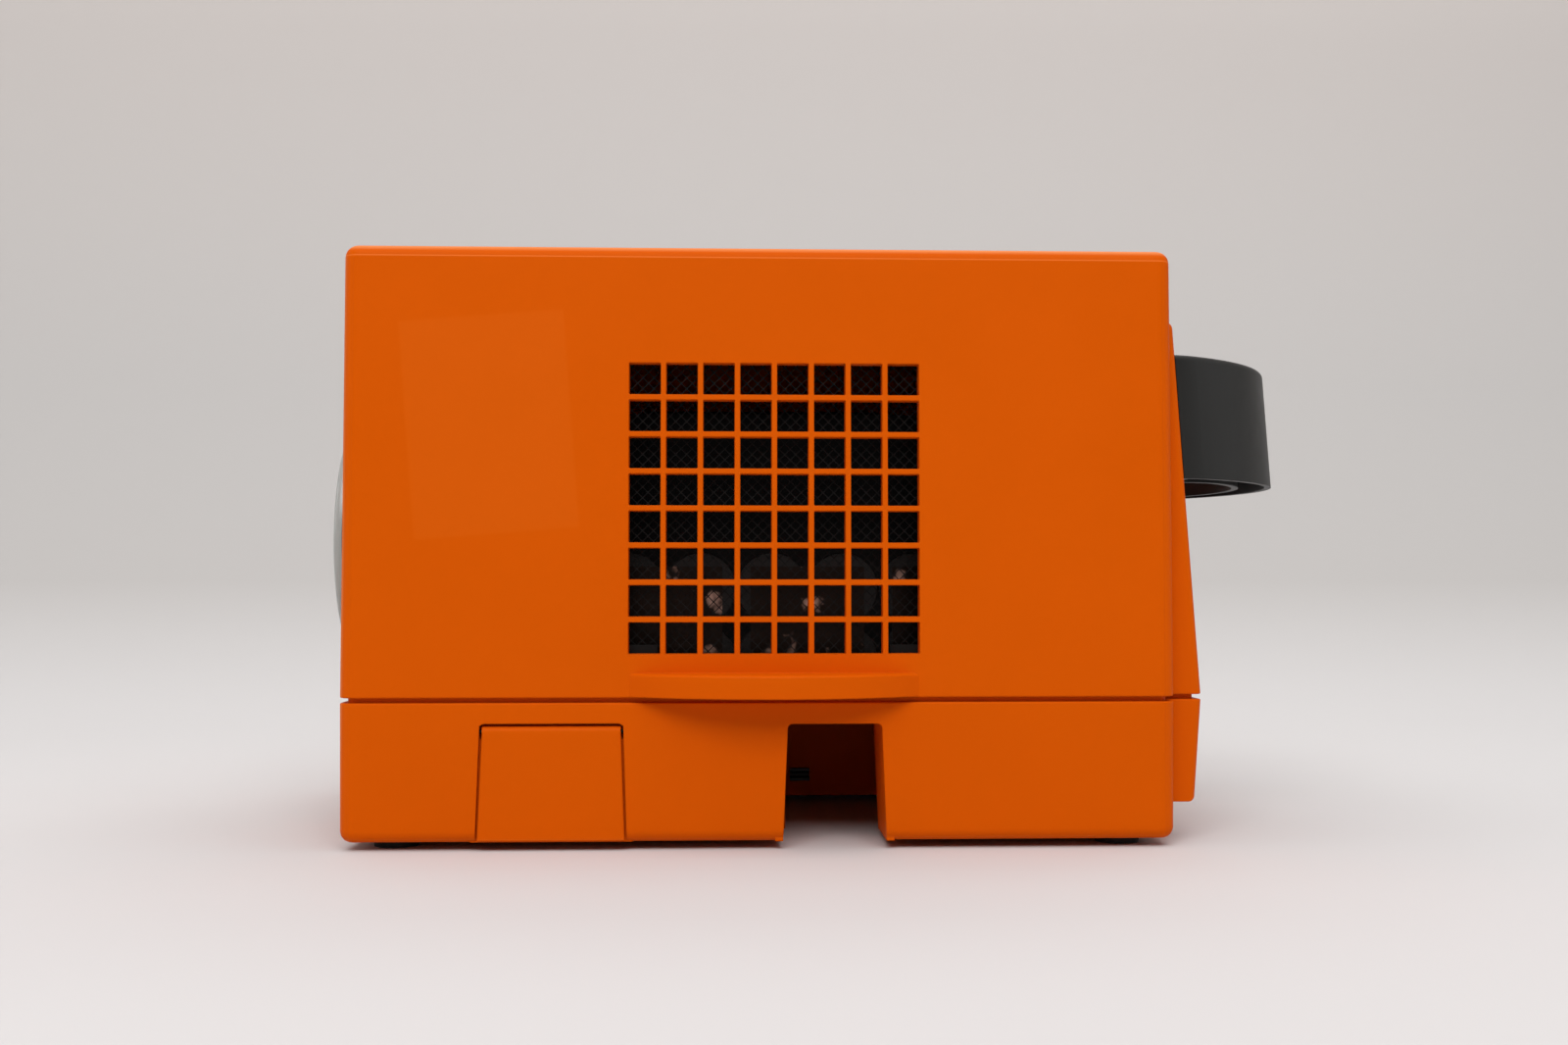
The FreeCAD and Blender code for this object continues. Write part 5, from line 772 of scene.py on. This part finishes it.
# %% Sweep
def paper():
    material, tree, shader = new_material("backdrop_paper")
    place = add(tree, "ShaderNodeTexCoord").outputs["Object"]
    height = add(tree, "ShaderNodeSeparateXYZ", Vector=place).outputs["Z"]
    # painted shade: the paper darkens from the floor into the foot of the wall and grows paler
    # again higher up
    low_wall_painted_shade = add(tree, "ShaderNodeMix", {"data_type": "RGBA"}, i0=ramp(tree, height, 0.0, 0.10),
                   i6=colour("d5d3d3"), i7=colour("bebbb9"))
    wall_painted_shade = add(tree, "ShaderNodeMix", {"data_type": "RGBA"}, i0=ramp(tree, height, 0.30, 0.90),
               i6=low_wall_painted_shade.outputs[2], i7=colour("cec7c3"))
    tree.links.new(wall_painted_shade.outputs[2], shader.inputs["Base Color"])
    shader.inputs["Roughness"].default_value = 0.9
    shader.inputs["Specular IOR Level"].default_value = 0.2
    return material


BACK_EDGE = 1.0
WALL_HEIGHT = 3


def select_back_edge(piece):
    """Select the floor's rear edge and nothing else."""
    for vertex in piece.data.vertices:
        vertex.select = vertex.co.y > BACK_EDGE and vertex.co.z < 0.01
    for edge in piece.data.edges:
        edge.select = all(piece.data.vertices[i].select for i in edge.vertices)
    for face in piece.data.polygons:
        face.select = False


clear_selection()
bpy.ops.mesh.primitive_plane_add(size=10, location=(0, -3.9, 0))
sweep = bpy.context.object
sweep.name = "studio_sweep"
bpy.ops.object.transform_apply(location=True)
select_back_edge(sweep)
bpy.ops.object.mode_set(mode="EDIT")
bpy.ops.mesh.select_mode(type="EDGE")
bpy.ops.mesh.extrude_region_move(TRANSFORM_OT_translate={"value": (0, 0, WALL_HEIGHT)})
bpy.ops.object.mode_set(mode="OBJECT")
select_back_edge(sweep)
bpy.ops.object.mode_set(mode="EDIT")
bpy.ops.mesh.bevel(offset=0.7, segments=24, affect="EDGES")
bpy.ops.object.mode_set(mode="OBJECT")
bpy.ops.object.shade_smooth()
sweep.data.materials.append(paper())
print("sweep faces:", len(sweep.data.polygons))

# %% [markdown]
# ## Light
# A wide softbox hangs above and a little to the front, so the lid and the upper edges catch
# a pale gleam and the near side is lit at a slant.  A second, weaker one stands high behind
# the camera, and three faint ones fill the ends and the far side.  The world gives only a
# low even light, so the recesses stay deep; where it is seen directly, in a reflection or
# through glass, it is as pale as the paper.

# %% Softboxes and world
def softbox(name, place, width, height, power, aim=(0, 0, 0.1)):
    light = bpy.data.lights.new(name, "AREA")
    light.shape = "RECTANGLE"
    light.size, light.size_y = width, height
    light.energy = power
    holder = bpy.data.objects.new(name, light)
    bpy.context.scene.collection.objects.link(holder)
    direction = Vector(aim) - Vector(place)
    aimed = direction.to_track_quat("-Z", "Y").to_matrix().to_4x4()
    holder.matrix_world = Matrix.Translation(place) @ aimed


softbox("softbox_above", (0.0, -0.45, 2.1), 3.2, 2.4, 33.5)
softbox("softbox_front", (-0.2, -2.3, 2.0), 2.4, 1.2, 48)
softbox("softbox_right", (2.0, -0.2, 0.8), 1.2, 1.2, 3)
softbox("softbox_left", (-2.0, -0.1, 0.8), 1.2, 1.2, 5)
softbox("softbox_back", (0.3, 0.9, 1.5), 1.4, 0.8, 5)
WORLD_LIGHT = 0.16
WORLD_SEEN = 0.62
world = bpy.data.worlds.new("studio_air")
world.use_nodes = True
air = world.node_tree
rays = add(air, "ShaderNodeLightPath")
seen = maths(air, "MAXIMUM", rays.outputs["Is Camera Ray"],
             maths(air, "MAXIMUM", rays.outputs["Is Glossy Ray"],
                   rays.outputs["Is Transmission Ray"]))
strength = add(air, "ShaderNodeMapRange", Value=seen, To_Min=WORLD_LIGHT,
               To_Max=WORLD_SEEN)
air.nodes["Background"].inputs["Color"].default_value = colour("f4f1ee")
air.links.new(strength.outputs["Result"], air.nodes["Background"].inputs["Strength"])
bpy.context.scene.world = world

# %% [markdown]
# ## Camera
# The camera stands close to the near side and slightly low, level with the vents, so the
# sides of the housing show a little perspective and neither the lid nor the base shows.

# %% Camera
CAMERA_PLACE = (-0.0376, -0.69504, 0.09304)
CAMERA_TURN = -0.0396
CAMERA_TILT = 0.0398
CAMERA_LENS = 38.14
camera_data = bpy.data.cameras.new("camera")
camera_data.lens = CAMERA_LENS
camera_data.sensor_width = 36
camera = bpy.data.objects.new("camera", camera_data)
bpy.context.scene.collection.objects.link(camera)
camera.location = CAMERA_PLACE
camera.rotation_euler = (math.pi / 2 + CAMERA_TILT, 0, CAMERA_TURN)
bpy.context.scene.camera = camera
bpy.context.scene.view_settings.view_transform = "Standard"
print("camera looks from", CAMERA_PLACE)
